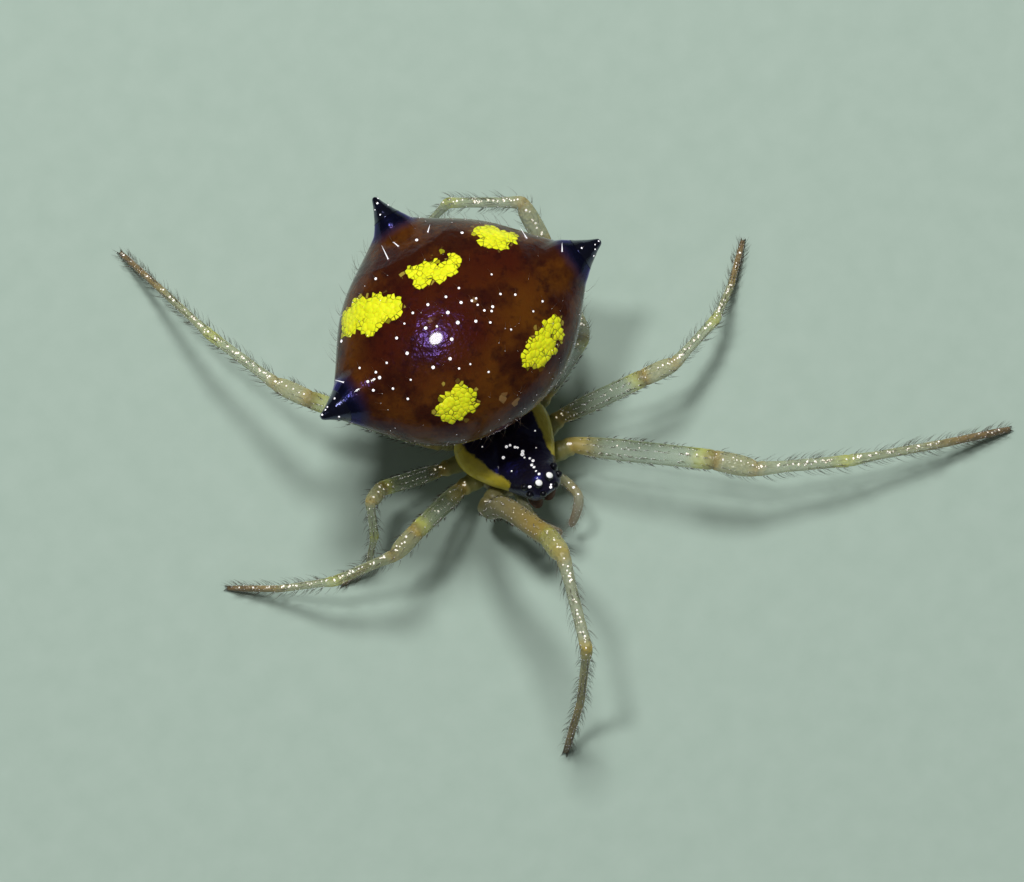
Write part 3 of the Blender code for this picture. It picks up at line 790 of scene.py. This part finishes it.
# eyes of the left side, mirrored for the right one, each (x, y, z, radius)
eyes = {
    "anterior_median": (0.088, -0.822, 1.115, 0.046),
    "anterior_lateral": (0.215, -0.725, 1.070, 0.045),
    "posterior_median": (0.077, -0.712, 1.195, 0.055),
    "posterior_lateral": (0.218, -0.627, 1.130, 0.047),
}

carapaceRelief = {
    "rim": 0.25,
    "foveaPlace": Vector((0, 0.17)),
    "foveaSize": Vector((0.15, 0.07)),
    "foveaDepth": 0.05,
    "grooveStart": Vector((0.07, 0.10)),
    "grooveEnd": Vector((0.42, -0.40)),
    "grooveWidth": 0.05,
    "grooveDepth": 0.022,
    "mound": 0.022,
}

# bristles of the midline and the black band, set where the flash glints, with sockets painted as glints:
# places seen from above and sizes of their sockets
bristles = {
    "places": (
        (-0.075, -0.078, 1.2), (-0.030, -0.090, 1.0), (0.003, -0.144, 1.1), (0.023, -0.166, 1.0),
        (0.043, -0.242, 1.35), (0.017, -0.270, 1.6), (0.012, -0.321, 0.8), (0.053, -0.369, 1.0),
        (0.063, -0.421, 1.3), (0.015, -0.459, 1.25), (0.017, -0.502, 1.2), (-0.002, -0.566, 0.9),
        (0.000, -0.623, 1.1), (-0.183, -0.160, 1.3), (-0.018, 0.166, 1.2), (-0.038, 0.160, 0.9),
        (0.068, 0.174, 1.0), (-0.176, -0.665, 1.2), (-0.165, -0.672, 0.9), (0.025, -0.821, 1.2),
        (0.045, -0.800, 0.8), (0.324, -0.115, 0.7), (-0.21, -0.36, 0.7), (0.20, -0.30, 0.6),
        (-0.30, 0.10, 0.6),
    ),
    "length": 0.11,
    "radius": 0.0024,
    "socket": 0.0165,
}


def groove(x, y):
    start = carapaceRelief["grooveStart"]
    along = carapaceRelief["grooveEnd"] - start
    place = Vector((abs(x), y)) - start
    share = min(1, max(0, place.dot(along) / along.length_squared))
    away = (place - along * share).length
    return math.exp(-((away / carapaceRelief["grooveWidth"]) ** 2))


def carapacePoint(unit):
    front, rear = carapaceStations[0][0], carapaceStations[-1][0]
    along = 0.5 + math.asin(max(-1, min(1, unit.y))) / math.pi
    y = front + (rear - front) * along
    halfWidth, top, bottom = between(carapaceStations, y)
    section = Vector((unit.x, 0, unit.z))
    if section.length < 1e-4:
        return Vector((0, y, (top + bottom) / 2))
    section.normalize()
    rim = bottom + carapaceRelief["rim"] * (top - bottom)
    height = top - rim if section.z > 0 else rim - bottom
    x = halfWidth * section.x
    z = rim + math.copysign(height * abs(section.z) ** 0.8, section.z)
    if section.z > 0:
        away = Vector((x, y)) - carapaceRelief["foveaPlace"]
        size = carapaceRelief["foveaSize"]
        fovea = math.exp(-((away.x / size.x) ** 2) - (away.y / size.y) ** 2)
        z -= carapaceRelief["foveaDepth"] * fovea * section.z
        z -= carapaceRelief["grooveDepth"] * groove(x, y) * section.z
    return Vector((x, y, z))


def blackShield():
    wax = (0.1, (1.0, 0.7, 0.3))
    finish = Finish("carapaceCuticle", 0.6, (0.5, 0.05, 1.5), wax, tint=(0.12, 0.13, 1.0))
    place = finish.placeFrom()
    x, y, z = (place.axis(index) for index in range(3))
    rough = place.noise(7, 4, 0.6)
    fine = place.noise(30, 2, 0.6)
    halfBand = y.rise(-0.55, 0.25) * 0.16 + 0.30  # the black band widens backwards
    front = y.rise(-0.46, -0.58)
    edge = x.size() - halfBand + (rough - 0.5) * 0.12 - front * 0.3
    margin = edge.rise(-0.015, 0.03)
    # the olive margins are their own colour, painted brighter to stand in for light that reaches them through
    # the cuticle and from below: painted light
    oliveAndPaintedLight = finish.mix(rough, (0.84, 0.71, 0.030), (0.50, 0.39, 0.020))
    oliveAndPaintedLight = finish.mix(front, oliveAndPaintedLight, (0.08, 0.035, 0.02))
    black = finish.mix(fine, (0.006, 0.005, 0.009), (0.012, 0.010, 0.018))
    colour = finish.mix(margin.most(z.rise(0.86, 0.80)), black, oliveAndPaintedLight)
    relief = rough * 0.014 + place.noise(12, 2, 0.5) * 0.012 + fine * 0.0015
    finish.wear(colour, 0.24 + 0.20 * fine + 0.2 * margin, relief)
    return finish


def buildCarapace():
    bm = bmesh.new()
    bmesh.ops.create_uvsphere(bm, u_segments=128, v_segments=110, radius=1)
    bmesh.ops.rotate(bm, matrix=Matrix.Rotation(math.radians(90), 3, "X"), verts=bm.verts)
    for vert in bm.verts:
        vert.co = carapacePoint(vert.co)
    for x, y, z, radius in eyes.values():
        for label, side in bothSides:
            centre = Vector((side * x, y, z))
            for vert in bm.verts:
                away = vert.co - centre
                near = math.exp(-((away.length / (1.5 * radius)) ** 2))
                vert.co += away.normalized() * carapaceRelief["mound"] * near
    bmesh.ops.remove_doubles(bm, verts=bm.verts, dist=1e-5)
    bmesh.ops.recalc_face_normals(bm, faces=bm.faces)
    shell = BVHTree.FromBMesh(bm)
    finishPiece("carapace_shell", bm, blackShield(), ("carapace",))
    buildBristles(shell)


def buildBristles(shell):
    dice = random.Random(8)
    roots = []
    for x, y, size in bristles["places"]:
        place, out, *_ = shell.ray_cast(Vector((x, y, 3)), -up)
        lean = Vector((-0.3 * x, -1, 0.2)) + jitter(dice, 0.3)
        length = bristles["length"] * dice.uniform(0.7, 1.2)
        flat = Vector((0.5 + x / 2, 0.5 + y / 2))
        roots.append((place, out, lean, length, bristles["radius"] * size**0.5, flat))
    finish = setaAndGlintFinish("carapaceBristle", (0.020, 0.012, 0.014), (0.008, 0.005, 0.006))
    plantSetae("carapaceBristles", roots, finish, bristles["socket"], 6)


# Eyes: dark beads, but the middle pair behind has pearly lenses, white caps that are partly their own tapetum
# and partly a painted glint of the flash

# colours of a lens and of its rim
eyeTones = {
    "darkEye": ((0.003, 0.003, 0.006), (0.002, 0.002, 0.004)),
    "sideEye": ((0.006, 0.006, 0.010), (0.002, 0.002, 0.004)),
    "tapetumAndGlintEye": ((0.98, 0.98, 0.97), (0.004, 0.004, 0.010)),
}
eyeKinds = {
    "anterior_median": "darkEye",
    "anterior_lateral": "sideEye",
    "posterior_median": "tapetumAndGlintEye",
    "posterior_lateral": "sideEye",
}


def eyeLens(name, pearlAndGlint, rim):
    finish = Finish(name, 0.3, (0.5, 0.02, 1.5))
    across = finish.attribute("across")
    fine = finish.placeFrom().noise(60, 2)
    finish.wear(finish.mix((across + fine * 0.06).rise(0.62, 0.74), rim, pearlAndGlint), 0.12 + 0.1 * fine)
    return finish


def buildEyes():
    finishes = {name: eyeLens(name, *tones) for name, tones in eyeTones.items()}
    for name, (x, y, z, radius) in eyes.items():
        for label, side in bothSides:
            bm = bmesh.new()
            across = bm.verts.layers.float.new("across")
            bmesh.ops.create_uvsphere(bm, u_segments=32, v_segments=20, radius=1)
            for vert in bm.verts:
                vert[across] = vert.co.z
            # all gazes lean the same way, so the pearly caps sit off to one side where the flash glints:
            # painted glint
            gaze = Vector((0.3 + side * x, -0.9, 0.9) if "anterior" in name else (0.3 + side * x, 0.0, 1.0))
            bmesh.ops.rotate(bm, matrix=gaze.to_track_quat("Z", "Y").to_matrix(), verts=bm.verts)
            bmesh.ops.scale(bm, vec=(radius, radius, radius), verts=bm.verts)
            bmesh.ops.translate(bm, vec=(side * x, y, z), verts=bm.verts)
            node = f"eye_{name}_{label}"
            finishPiece(node + "_lens", bm, finishes[eyeKinds[name]], (node,))


# Underside and mouthparts

def paleCuticle(name, light, dark, scale, coat=0.7, shine=0.5):
    finish = Finish(name, shine, (coat, 0.15, 1.5), (0.4, (1.0, 0.8, 0.45)))
    mottle = finish.placeFrom().noise(scale, 4, 0.6)
    finish.wear(finish.mix(mottle.rise(0.32, 0.68), light, dark), 0.3 + 0.3 * mottle, mottle * 0.008)
    return finish


sternum = {
    "centre": Vector((0, 0.03, 0.58)),
    "radii": Vector((0.50, 0.60, 0.20)),
    "narrowing": 0.18,
    "top": 0.74,
    "tones": ((0.33, 0.28, 0.11), (0.17, 0.13, 0.05)),
}


def buildSternum():
    bm = bmesh.new()
    bmesh.ops.create_uvsphere(bm, u_segments=64, v_segments=40, radius=1)
    for vert in bm.verts:
        vert.co.x *= 1 - sternum["narrowing"] * vert.co.y
    bmesh.ops.scale(bm, vec=sternum["radii"], verts=bm.verts)
    bmesh.ops.translate(bm, vec=sternum["centre"], verts=bm.verts)
    cut = {"plane_co": (0, 0, sternum["top"]), "plane_no": up, "clear_outer": True}
    bmesh.ops.bisect_plane(bm, geom=[*bm.verts, *bm.edges, *bm.faces], **cut)
    fillHoles(bm)
    finish = paleCuticle("sternumCuticle", *sternum["tones"], 6)
    finishPiece("sternumPlate", bm, finish, ("sternum",))


chelicera = {
    "path": (
        (0.095, -0.600, 0.83), (0.097, -0.635, 0.74), (0.098, -0.680, 0.62),
        (0.085, -0.705, 0.47), (0.072, -0.700, 0.38),
    ),
    "radii": (0.078, 0.085, 0.088, 0.070, 0.040),
    "fang": ((0.070, -0.700, 0.375), (0.060, -0.700, 0.335), (0.035, -0.685, 0.320)),
    "fangRadii": (0.020, 0.014, 0.003),
    # reddish brown, darkened further as painted shade under the head
    "tones": ((0.110, 0.036, 0.014), (0.045, 0.014, 0.008)),
}

# colours down a palp, and how far it can be seen through
palp = {
    "path": (
        (0.225, -0.500, 0.600), (0.252, -0.620, 0.665), (0.290, -0.755, 0.730), (0.300, -0.970, 0.790),
        (0.262, -1.060, 0.745), (0.180, -1.125, 0.620), (0.100, -1.150, 0.450), (0.078, -1.155, 0.400),
    ),
    "radii": (0.055, 0.058, 0.060, 0.055, 0.060, 0.056, 0.046, 0.022),
    "marks": (0.0, 0.15, 0.3, 0.45, 0.6, 0.75, 0.9, 1.0),
    "tones": (
        (0.0, (0.26, 0.25, 0.12)), (0.30, (0.38, 0.38, 0.22)), (0.42, (0.40, 0.34, 0.14)),
        (0.56, (0.42, 0.39, 0.24)), (0.80, (0.38, 0.26, 0.15)), (1.0, (0.28, 0.18, 0.10)),
    ),
    "clear": ((0.0, 0.4), (0.5, 0.6), (1.0, 0.45)),
    "setae": 110,
    "setaLength": 0.09,
    "setaRadius": 0.0018,
    # the palps' shiny sockets are painted as glints: white, glowing beads
    "glintSpots": (0.34, 0.39, 0.46),  # places of the shiny sockets
}


def mirrored(path, side):
    return [Vector((side * x, y, z)) for x, y, z in path]


def buildMouthparts():
    chelicerae = paleCuticle("cheliceraCuticleAndShade", *chelicera["tones"], 9, 0.0, 0.1)
    palps = glassyCuticle("palpCuticle", palp["tones"], palp["clear"], 1)
    thin = palp["setaRadius"]
    roots = []
    glintSpots = []
    dice = random.Random(5)
    for label, side in bothSides:
        path = stationsAlong(mirrored(chelicera["path"], side), chelicera["radii"], 0.02)
        bm = sweep(bmesh.new(), roundEnd(path))
        sweep(bm, stationsAlong(mirrored(chelicera["fang"], side), chelicera["fangRadii"], 0.008), 12)
        node = "chelicera_" + label
        finishPiece("chelicera" + label.capitalize(), bm, chelicerae, (node,))
        stations = roundEnd(stationsAlong(mirrored(palp["path"], side), palp["radii"], 0.02, palp["marks"]))
        bm = sweep(bmesh.new(), stations)
        finishPiece("palp" + label.capitalize(), bm, palps, ("palp_" + label,))
        end = len(stations) - 4
        for i in range(palp["setae"]):
            share = dice.uniform(0.25, 0.95)
            flat = (share, 0.9 if side > 0 else 0.96)
            roots.append(rootOn(stations, share * end, dice, palp["setaLength"], thin, flat))
        for share in palp["glintSpots"]:
            flat = (share, 0.5 + side / 4)
            glintSpots.append(rootOn(stations, share * end, dice, 0.03, thin, flat, -math.pi / 2))
    plantSetae("palpSetae", roots, setaAndGlintFinish("palpSeta", (0.20, 0.13, 0.05), (0.08, 0.05, 0.02)), 0.003)
    # painted glints: white, glowing beads on the palps
    glintSockets = setaAndGlintFinish("palpGlintSocket", (0.40, 0.33, 0.15), (0.2, 0.15, 0.08))
    plantSetae("palpGlintSockets", glintSpots, glintSockets, 0.012, 6)


# Legs

legLengths = {
    1: (1.70, 0.53, 1.13, 1.19, 0.89),
    2: (1.11, 0.43, 0.85, 0.77, 0.64),
    3: (0.84, 0.33, 0.54, 0.50, 0.39),
    4: (1.67, 0.59, 1.13, 1.01, 0.79),
}
legThickness = {1: 1.0, 2: 0.86, 3: 0.74, 4: 0.88}
coxaStart = {1: (0.33, -0.33, 0.57), 2: (0.37, -0.08, 0.56), 3: (0.37, 0.17, 0.56), 4: (0.33, 0.41, 0.57)}
femurStart = {1: (0.66, -0.44, 0.66), 2: (0.75, -0.06, 0.64), 3: (0.79, 0.27, 0.63), 4: (0.66, 0.61, 0.65)}
jointRadii = (0.105, 0.120, 0.090, 0.074, 0.050, 0.036)
bellyRadii = (0.130, 0.126, 0.070, 0.053, 0.046)
footLift = 0.022
femurBows = {"right_1": 0.22}
segments = ("femur", "patella", "tibia", "metatarsus", "tarsus")

# headings of the five segments and pitches of the first four, in degrees
legPoses = {
    "left_1": ((-46, -46, -28, -22, -18), (8, -11, -11, -13)),
    "right_1": ((277, 259, 248, 219, 208), (51, 39, -18, -76)),
    "left_2": ((-16, -9, 16, 35, 40), (18, -7, -19, -38)),
    "right_2": ((198, 183, 158, 140, 136), (36, -36, -29, -31)),
    "left_3": ((15, 57, 67, 74, 77), (35, -35, -26, -52)),
    "right_3": ((168, 205, 243, 215, 172), (21, 35, -60, -62)),
    "left_4": ((43, 89, 129, 165, 198), (25, 42, -37, -63)),
    "right_4": ((132, 107, 100, 93, 94), (27, -31, -19, -24)),
}

# share of coxa and trochanter, narrow where they meet, and the radius there
coxaProfile = ((0.0, 0.098), (0.45, 0.122), (0.62, 0.11956), (0.68, 0.100), (0.74, 0.112), (1.0, 0.112))
coxaSteps = 14

# share of the segment, and how its radius is mixed from start, belly and end, then scaled
segmentProfile = (
    (0.00, (1.0, 0.0, 0.0), 0.92),
    (0.02, (1.0, 0.0, 0.0), 0.97),
    (0.05, (1.0, 0.0, 0.0), 1.00),
    (0.14, (0.5, 0.5, 0.0), 1.00),
    (0.32, (0.0, 1.0, 0.0), 1.00),
    (0.50, (0.0, 1.0, 0.0), 1.00),
    (0.70, (0.0, 1.0, 0.0), 0.97),
    (0.90, (0.0, 0.4, 0.6), 1.00),
    (0.965, (0.0, 0.0, 1.0), 1.03),
    (0.985, (0.0, 0.0, 1.0), 1.00),
    (1.00, (0.0, 0.0, 1.0), 0.92),
)
segmentStep = 0.035


def legJoints(side, pair, headings, pitches):
    joints = mirrored([femurStart[pair]], side)
    directions = []
    for length, turn, pitch in zip(legLengths[pair], headings, pitches):
        directions.append(heading(turn, pitch))
        joints.append(joints[-1] + directions[-1] * length)
    lastPitch = math.degrees(math.asin((footLift - joints[-1].z) / legLengths[pair][4]))
    directions.append(heading(headings[4], lastPitch))
    joints.append(joints[-1] + directions[-1] * legLengths[pair][4])
    return joints, directions


# stations down a whole leg, marked 0 to 1 on the coxa and one more on each segment after it
def legStations(label, side, pair):
    leg = f"{label}_{pair}"
    joints, directions = legJoints(side, pair, *legPoses[leg])
    thick = legThickness[pair]
    root = mirrored([coxaStart[pair]], side)[0]
    coxa = (joints[0] - root).normalized()
    rootThick = 0.5 + 0.5 * thick
    stations = [(root - coxa * 0.06, coxa, coxaProfile[0][1] * rootThick * 0.9, 0.0)]
    for i in range(coxaSteps - 1):
        share = i / coxaSteps
        radius = between(coxaProfile, share)[0] * rootThick
        stations.append((root.lerp(joints[0], share), coxa, radius, share))
    for index, along in enumerate(directions):
        start, end = joints[index], joints[index + 1]
        near, far = jointRadii[index] * thick, jointRadii[index + 1] * thick
        belly = bellyRadii[index] * thick
        before = ((directions[index - 1] if index else coxa) + along).normalized()
        after = (along + directions[index + 1]).normalized() if index < 4 else along
        length = (end - start).length
        bow = (up - along * along.z).normalized() * (0 if index else femurBows.get(leg, 0))
        table = []
        for share, mixing, scale in segmentProfile:
            radius = sum(part * size for part, size in zip(mixing, (near, belly, far))) * scale
            if index == 4 and share > 0.95:
                radius = far
            table.append((share, radius))
        steps = round(length / segmentStep)
        middle = [0.05 + 0.9 * i / steps for i in range(1, steps + 1)]
        for share in (0.0, 0.012, 0.03, 0.05, *middle, 0.965, 0.985):
            centre = start.lerp(end, share) + bow * math.sin(math.pi * share) ** 2
            nearStart = max(0, 1 - share * length / (1.5 * near))
            nearEnd = max(0, 1 - (1 - share) * length / (1.5 * far))
            direction = (along + (before - along) * nearStart + (after - along) * nearEnd).normalized()
            stations.append((centre, direction, between(table, share)[0], 1 + index + share))
    return roundEnd(stations)


# colours down a leg, and how far it can be seen through, by sixths from the coxa
legTones = (
    (0.00, (0.32, 0.31, 0.10)), (0.13, (0.36, 0.34, 0.11)), (0.16, (0.56, 0.42, 0.10)),
    (0.175, (0.60, 0.48, 0.13)), (0.20, (0.27, 0.30, 0.13)), (0.26, (0.17, 0.22, 0.09)),
    (0.30, (0.27, 0.31, 0.11)), (0.318, (0.60, 0.62, 0.08)), (0.333, (0.26, 0.18, 0.03)),
    (0.345, (0.46, 0.34, 0.07)), (0.37, (0.46, 0.44, 0.20)), (0.46, (0.46, 0.45, 0.20)),
    (0.495, (0.48, 0.35, 0.08)), (0.52, (0.44, 0.46, 0.24)), (0.63, (0.42, 0.46, 0.22)),
    (0.66, (0.62, 0.62, 0.05)), (0.69, (0.40, 0.43, 0.18)), (0.80, (0.40, 0.39, 0.17)),
    (0.84, (0.38, 0.30, 0.12)), (0.88, (0.30, 0.22, 0.10)), (1.00, (0.18, 0.12, 0.06)),
)
legClear = (
    (0.00, 0.15), (0.15, 0.15), (0.20, 0.78), (0.30, 0.78), (0.335, 0.35),
    (0.37, 0.55), (0.50, 0.50), (0.54, 0.65), (0.80, 0.55), (0.88, 0.10),
)

# the right foreleg is browner, and its femur can hardly be seen through
frontTones = (
    (0.00, (0.30, 0.28, 0.12)), (0.16, (0.30, 0.26, 0.10)), (0.20, (0.19, 0.17, 0.08)),
    (0.28, (0.22, 0.18, 0.07)), (0.325, (0.34, 0.24, 0.05)), (0.345, (0.52, 0.49, 0.12)),
    (0.42, (0.50, 0.50, 0.18)), (0.495, (0.50, 0.38, 0.08)), (0.52, (0.44, 0.46, 0.26)),
    (0.64, (0.46, 0.46, 0.24)), (0.66, (0.58, 0.44, 0.07)), (0.70, (0.42, 0.36, 0.14)),
    (0.84, (0.38, 0.29, 0.11)), (0.95, (0.27, 0.19, 0.08)), (1.00, (0.14, 0.09, 0.05)),
)
frontClear = (
    (0.00, 0.15), (0.32, 0.15), (0.36, 0.50), (0.50, 0.50),
    (0.54, 0.60), (0.64, 0.60), (0.68, 0.20), (1.00, 0.10),
)


# see-through cuticle, coloured by the mark along it
def glassyCuticle(name, tones, clear, span):
    finish = Finish(name, 0.9, wax=(0.4, (0.9, 1.0, 0.7)))
    along = finish.attribute("along")
    place = finish.placeFrom()
    mottle = place.noise(5, 4, 0.6)
    fine = place.noise(26, 2, 0.5)
    spot = along / span + (mottle - 0.5) * 0.02
    shaded = finish.mix(mottle.rise(0.50, 0.78) * 0.35, finish.ramp(spot, tones), (0.20, 0.17, 0.06))
    colour = finish.mix(fine.rise(0.60, 0.75) * 0.25, shaded, (0.90, 0.88, 0.70))
    outer = along.rise(1.9, 2.1)  # shinier and more knobbly from the patella on
    edge = finish.node("ShaderNodeLayerWeight", {}, {"Blend": 0.5}, "Facing")
    window = finish.ramp(spot, [(share, (value,) * 3) for share, value in clear])
    finish.feed("Alpha", 1 - window * (1 - edge * edge))
    relief = mottle * 0.008 + fine * 0.0015 + place.noise(24, 1) * (0.003 + 0.025 * outer)
    finish.wear(colour, 0.34 - 0.24 * outer + 0.12 * mottle, relief)
    return finish


# setae, and the sockets of the upper ridge that are painted as white-gold glints of the flash, are counted
# for each millimetre of a segment
legSetae = {
    "count": (130, 80, 110, 120, 140),
    "length": (0.075, 0.12, 0.17, 0.17, 0.14),
    "radius": (0.0045, 0.0032, 0.0027, 0.0027, 0.0030),
    "socket": 0.0035,
    "ridgeCount": (3, 16, 26, 22, 6),
    "ridgeLength": 0.035,
    "ridgeRadius": 0.0027,
    "ridgeSocket": 0.0105,
    "onTrochanter": 4,
    "steepest": -0.8,  # sockets steeper than this don't catch the flash
    "clawLength": 0.05,
}


def buildLegs():
    skin = glassyCuticle("legCuticle", legTones, legClear, 6)
    frontSkin = glassyCuticle("frontLegCuticle", frontTones, frontClear, 6)
    setae = setaAndGlintFinish("legSeta", (0.09, 0.065, 0.035), (0.03, 0.022, 0.012))
    # painted glints: the ridge sockets' beads are white-gold and glow
    glintSockets = setaAndGlintFinish("legSocket", (0.50, 0.42, 0.16), (0.30, 0.24, 0.10), 0.0, (1.0, 0.84, 0.45))
    clawFinish = setaAndGlintFinish("clawCuticle", (0.05, 0.03, 0.015), (0.02, 0.012, 0.008))
    dice = random.Random(11)
    for row, (label, side) in enumerate(bothSides):
        for pair, lengths in legLengths.items():
            stations = legStations(label, side, pair)
            name = "leg" + label.capitalize() + str(pair)
            nodes = [f"leg_{label}_{pair}_{segment}" for segment in segments]
            finish = frontSkin if (label, pair) == ("right", 1) else skin
            finishPiece(name, sweep(bmesh.new(), stations), finish, nodes)
            flatRow = 0.02 + (row * 4 + pair - 1) / 9
            plantSetae(name + "Setae", legRoots(stations, pair, dice, flatRow), setae, legSetae["socket"])
            roots = ridgeGlintRoots(stations, lengths, dice, flatRow)
            plantSetae(name + "GlintSockets", roots, glintSockets, legSetae["ridgeSocket"], 6)
            buildClaws(name + "Claws", stations, clawFinish)


# the place among a leg's stations that has a mark
def spotOf(stations, mark):
    return float(np.interp(mark, [station[3] for station in stations], range(len(stations))))


def legRoots(stations, pair, dice, flatRow):
    roots = []
    for index, length in enumerate(legLengths[pair]):
        size = legSetae["length"][index] * (0.6 + 0.4 * legThickness[pair])
        for i in range(round(length * legSetae["count"][index])):
            mark = 1 + index + dice.uniform(0.04, 0.97)
            spot = spotOf(stations, mark)
            roots.append(rootOn(stations, spot, dice, size, legSetae["radius"][index], (mark / 6, flatRow)))
    return roots


def ridgeGlintRoots(stations, lengths, dice, flatRow):
    marks = [dice.uniform(0.82, 1.06) for _ in range(legSetae["onTrochanter"])]
    for index, length in enumerate(lengths):
        count = round(length * legSetae["ridgeCount"][index])
        marks += [1 + index + dice.uniform(0.0, 0.97) for _ in range(count)]
    roots = []
    for mark in marks:
        spot = spotOf(stations, mark)
        if stations[int(spot)][1].z < legSetae["steepest"]:
            continue
        angle = -math.pi / 2 + dice.gauss(0, 0.16)
        size, thickness = legSetae["ridgeLength"], legSetae["ridgeRadius"]
        roots.append(rootOn(stations, spot, dice, size, thickness, (mark / 6, flatRow), angle))
    return roots


def buildClaws(name, stations, finish):
    centre, direction, radius, mark = stations[-4]
    size = legSetae["clawLength"]
    across = direction.cross(up).normalized()
    level = Vector((direction.x, direction.y, 0)).normalized()
    bm = bmesh.new()
    for label, turn in bothSides:
        start = centre + across * turn * radius * 0.35
        tip = centre + level * size * 1.25 + across * turn * radius * 0.9
        tip.z = 0.006
        middle = (start + tip) / 2 + up * size * 0.35
        sweep(bm, stationsAlong([start, middle, tip], (0.011, 0.008, 0.002), 0.006), 10)
    finishPiece(name, bm, finish)


# Pedicel and spinnerets

pedicel = {
    "start": Vector((0, rearFace - 0.04, 0.84)),
    "radii": (0.075, 0.066, 0.070, 0.080),
    "tones": ((0.14, 0.07, 0.03), (0.06, 0.03, 0.015)),
}


def buildPedicel():
    low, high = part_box("pedicel")
    start = pedicel["start"]
    end = (high - bodyPlace) / mm + Vector((0, 0.05, -0.02))
    end.x = ((low.x + high.x) / 2 - bodyPlace.x) / mm
    points = [start, start.lerp(end, 0.35), start.lerp(end, 0.7), end]
    bm = sweep(bmesh.new(), stationsAlong(points, pedicel["radii"], 0.02))
    finish = paleCuticle("pedicelCuticle", *pedicel["tones"], 12)
    finishPiece("pedicelStalk", bm, finish, ("pedicel",))


# the collar's profile, and two rings of spinnerets: count, radius of the ring, length, radius
spinnerets = {
    "down": Vector((0.01, 0.12, -1)).normalized(),
    "collar": ((0, 0), (0, 0.150), (0.05, 0.150), (0.09, 0.135), (0.12, 0.110), (0.13, 0)),
    "rings": ((4, 0.070, 0.21, 0.045), (2, 0.025, 0.17, 0.028)),
    "tones": ((0.16, 0.08, 0.03), (0.07, 0.03, 0.015)),
}


def buildSpinnerets():
    low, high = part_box("spinnerets")
    top = ((low + high) / 2 - bodyPlace) / mm
    top.z = (high.z - bodyPlace.z) / mm + 0.03
    down = spinnerets["down"]
    bm = spun(spinnerets["collar"], top, down)
    for count, ring, length, radius in spinnerets["rings"]:
        for index in range(count):
            angle = math.tau * (index + 0.5) / count
            foot = top + Vector((ring * math.cos(angle), ring * math.sin(angle), 0))
            points = [foot + down * 0.08, foot + down * (length - 0.05), foot + down * length]
            sweep(bm, stationsAlong(points, (radius, radius * 0.8, radius * 0.4), 0.01), 14)
    finish = paleCuticle("spinneretCuticle", *spinnerets["tones"], 14)
    finishPiece("spinneretCluster", bm, finish, ("spinnerets",))


# Floor and light

floorTones = ((0.36, 0.46, 0.39), (0.41, 0.51, 0.44))
worldLight = {"colour": (0.80, 0.88, 0.86, 1), "strength": 0.08}

# The flash gives the glints, the softer lamp behind the spider gives most light and the shadows.
# Each is (towards, distance, size, power, whether the gloss shows it).
lights = {
    "flash": (Vector((-0.14, 0.21, 1)), 90, 12, 0.028, True),
    "lamp": (Vector((0.27, 0.40, 1)), 90, 24, 0.054, False),
    "fill": (Vector((-0.9, -0.9, 0.9)), 110, 90, 0.006, False),
}


def addFloor():
    bm = bmesh.new()
    bmesh.ops.create_grid(bm, x_segments=2, y_segments=2, size=400 * mm)
    mesh = bpy.data.meshes.new("floor")
    bm.to_mesh(mesh)
    bm.free()
    finish = Finish("paleFloor", 0.2)
    grain = finish.placeFrom().noise(3, 3)
    finish.wear(finish.mix(grain, *floorTones), 0.75 + 0.1 * grain)
    mesh.materials.append(finish.material)
    floor = bpy.data.objects.new("floor", mesh)
    scene.collection.objects.link(floor)


def addLights():
    for name, (towards, distance, size, power, shines) in lights.items():
        data = bpy.data.lights.new(name, "AREA")
        data.shape = "DISK"
        data.size = size * mm
        data.energy = power
        lamp = bpy.data.objects.new(name, data)
        scene.collection.objects.link(lamp)
        lamp.location = bodyPlace + towards.normalized() * distance * mm
        lamp.rotation_euler = towards.to_track_quat("Z", "Y").to_euler()
        lamp.visible_camera = False
        lamp.visible_glossy = shines
    scene.view_settings.view_transform = "Standard"
    world = bpy.data.worlds.new("studio")
    scene.world = world
    world.use_nodes = True
    background = world.node_tree.nodes["Background"]
    background.inputs["Color"].default_value = worldLight["colour"]
    background.inputs["Strength"].default_value = worldLight["strength"]


addCamera()
addFloor()
addLights()
print("stage set")
abdomenSkin = buildAbdomen()
buildHorns()
buildAbdomenSetae(abdomenSkin)
print("abdomen made")
buildCarapace()
buildEyes()
buildSternum()
buildMouthparts()
print("prosoma made")
buildPedicel()
buildSpinnerets()
print("underside made")
buildLegs()
print("legs made")
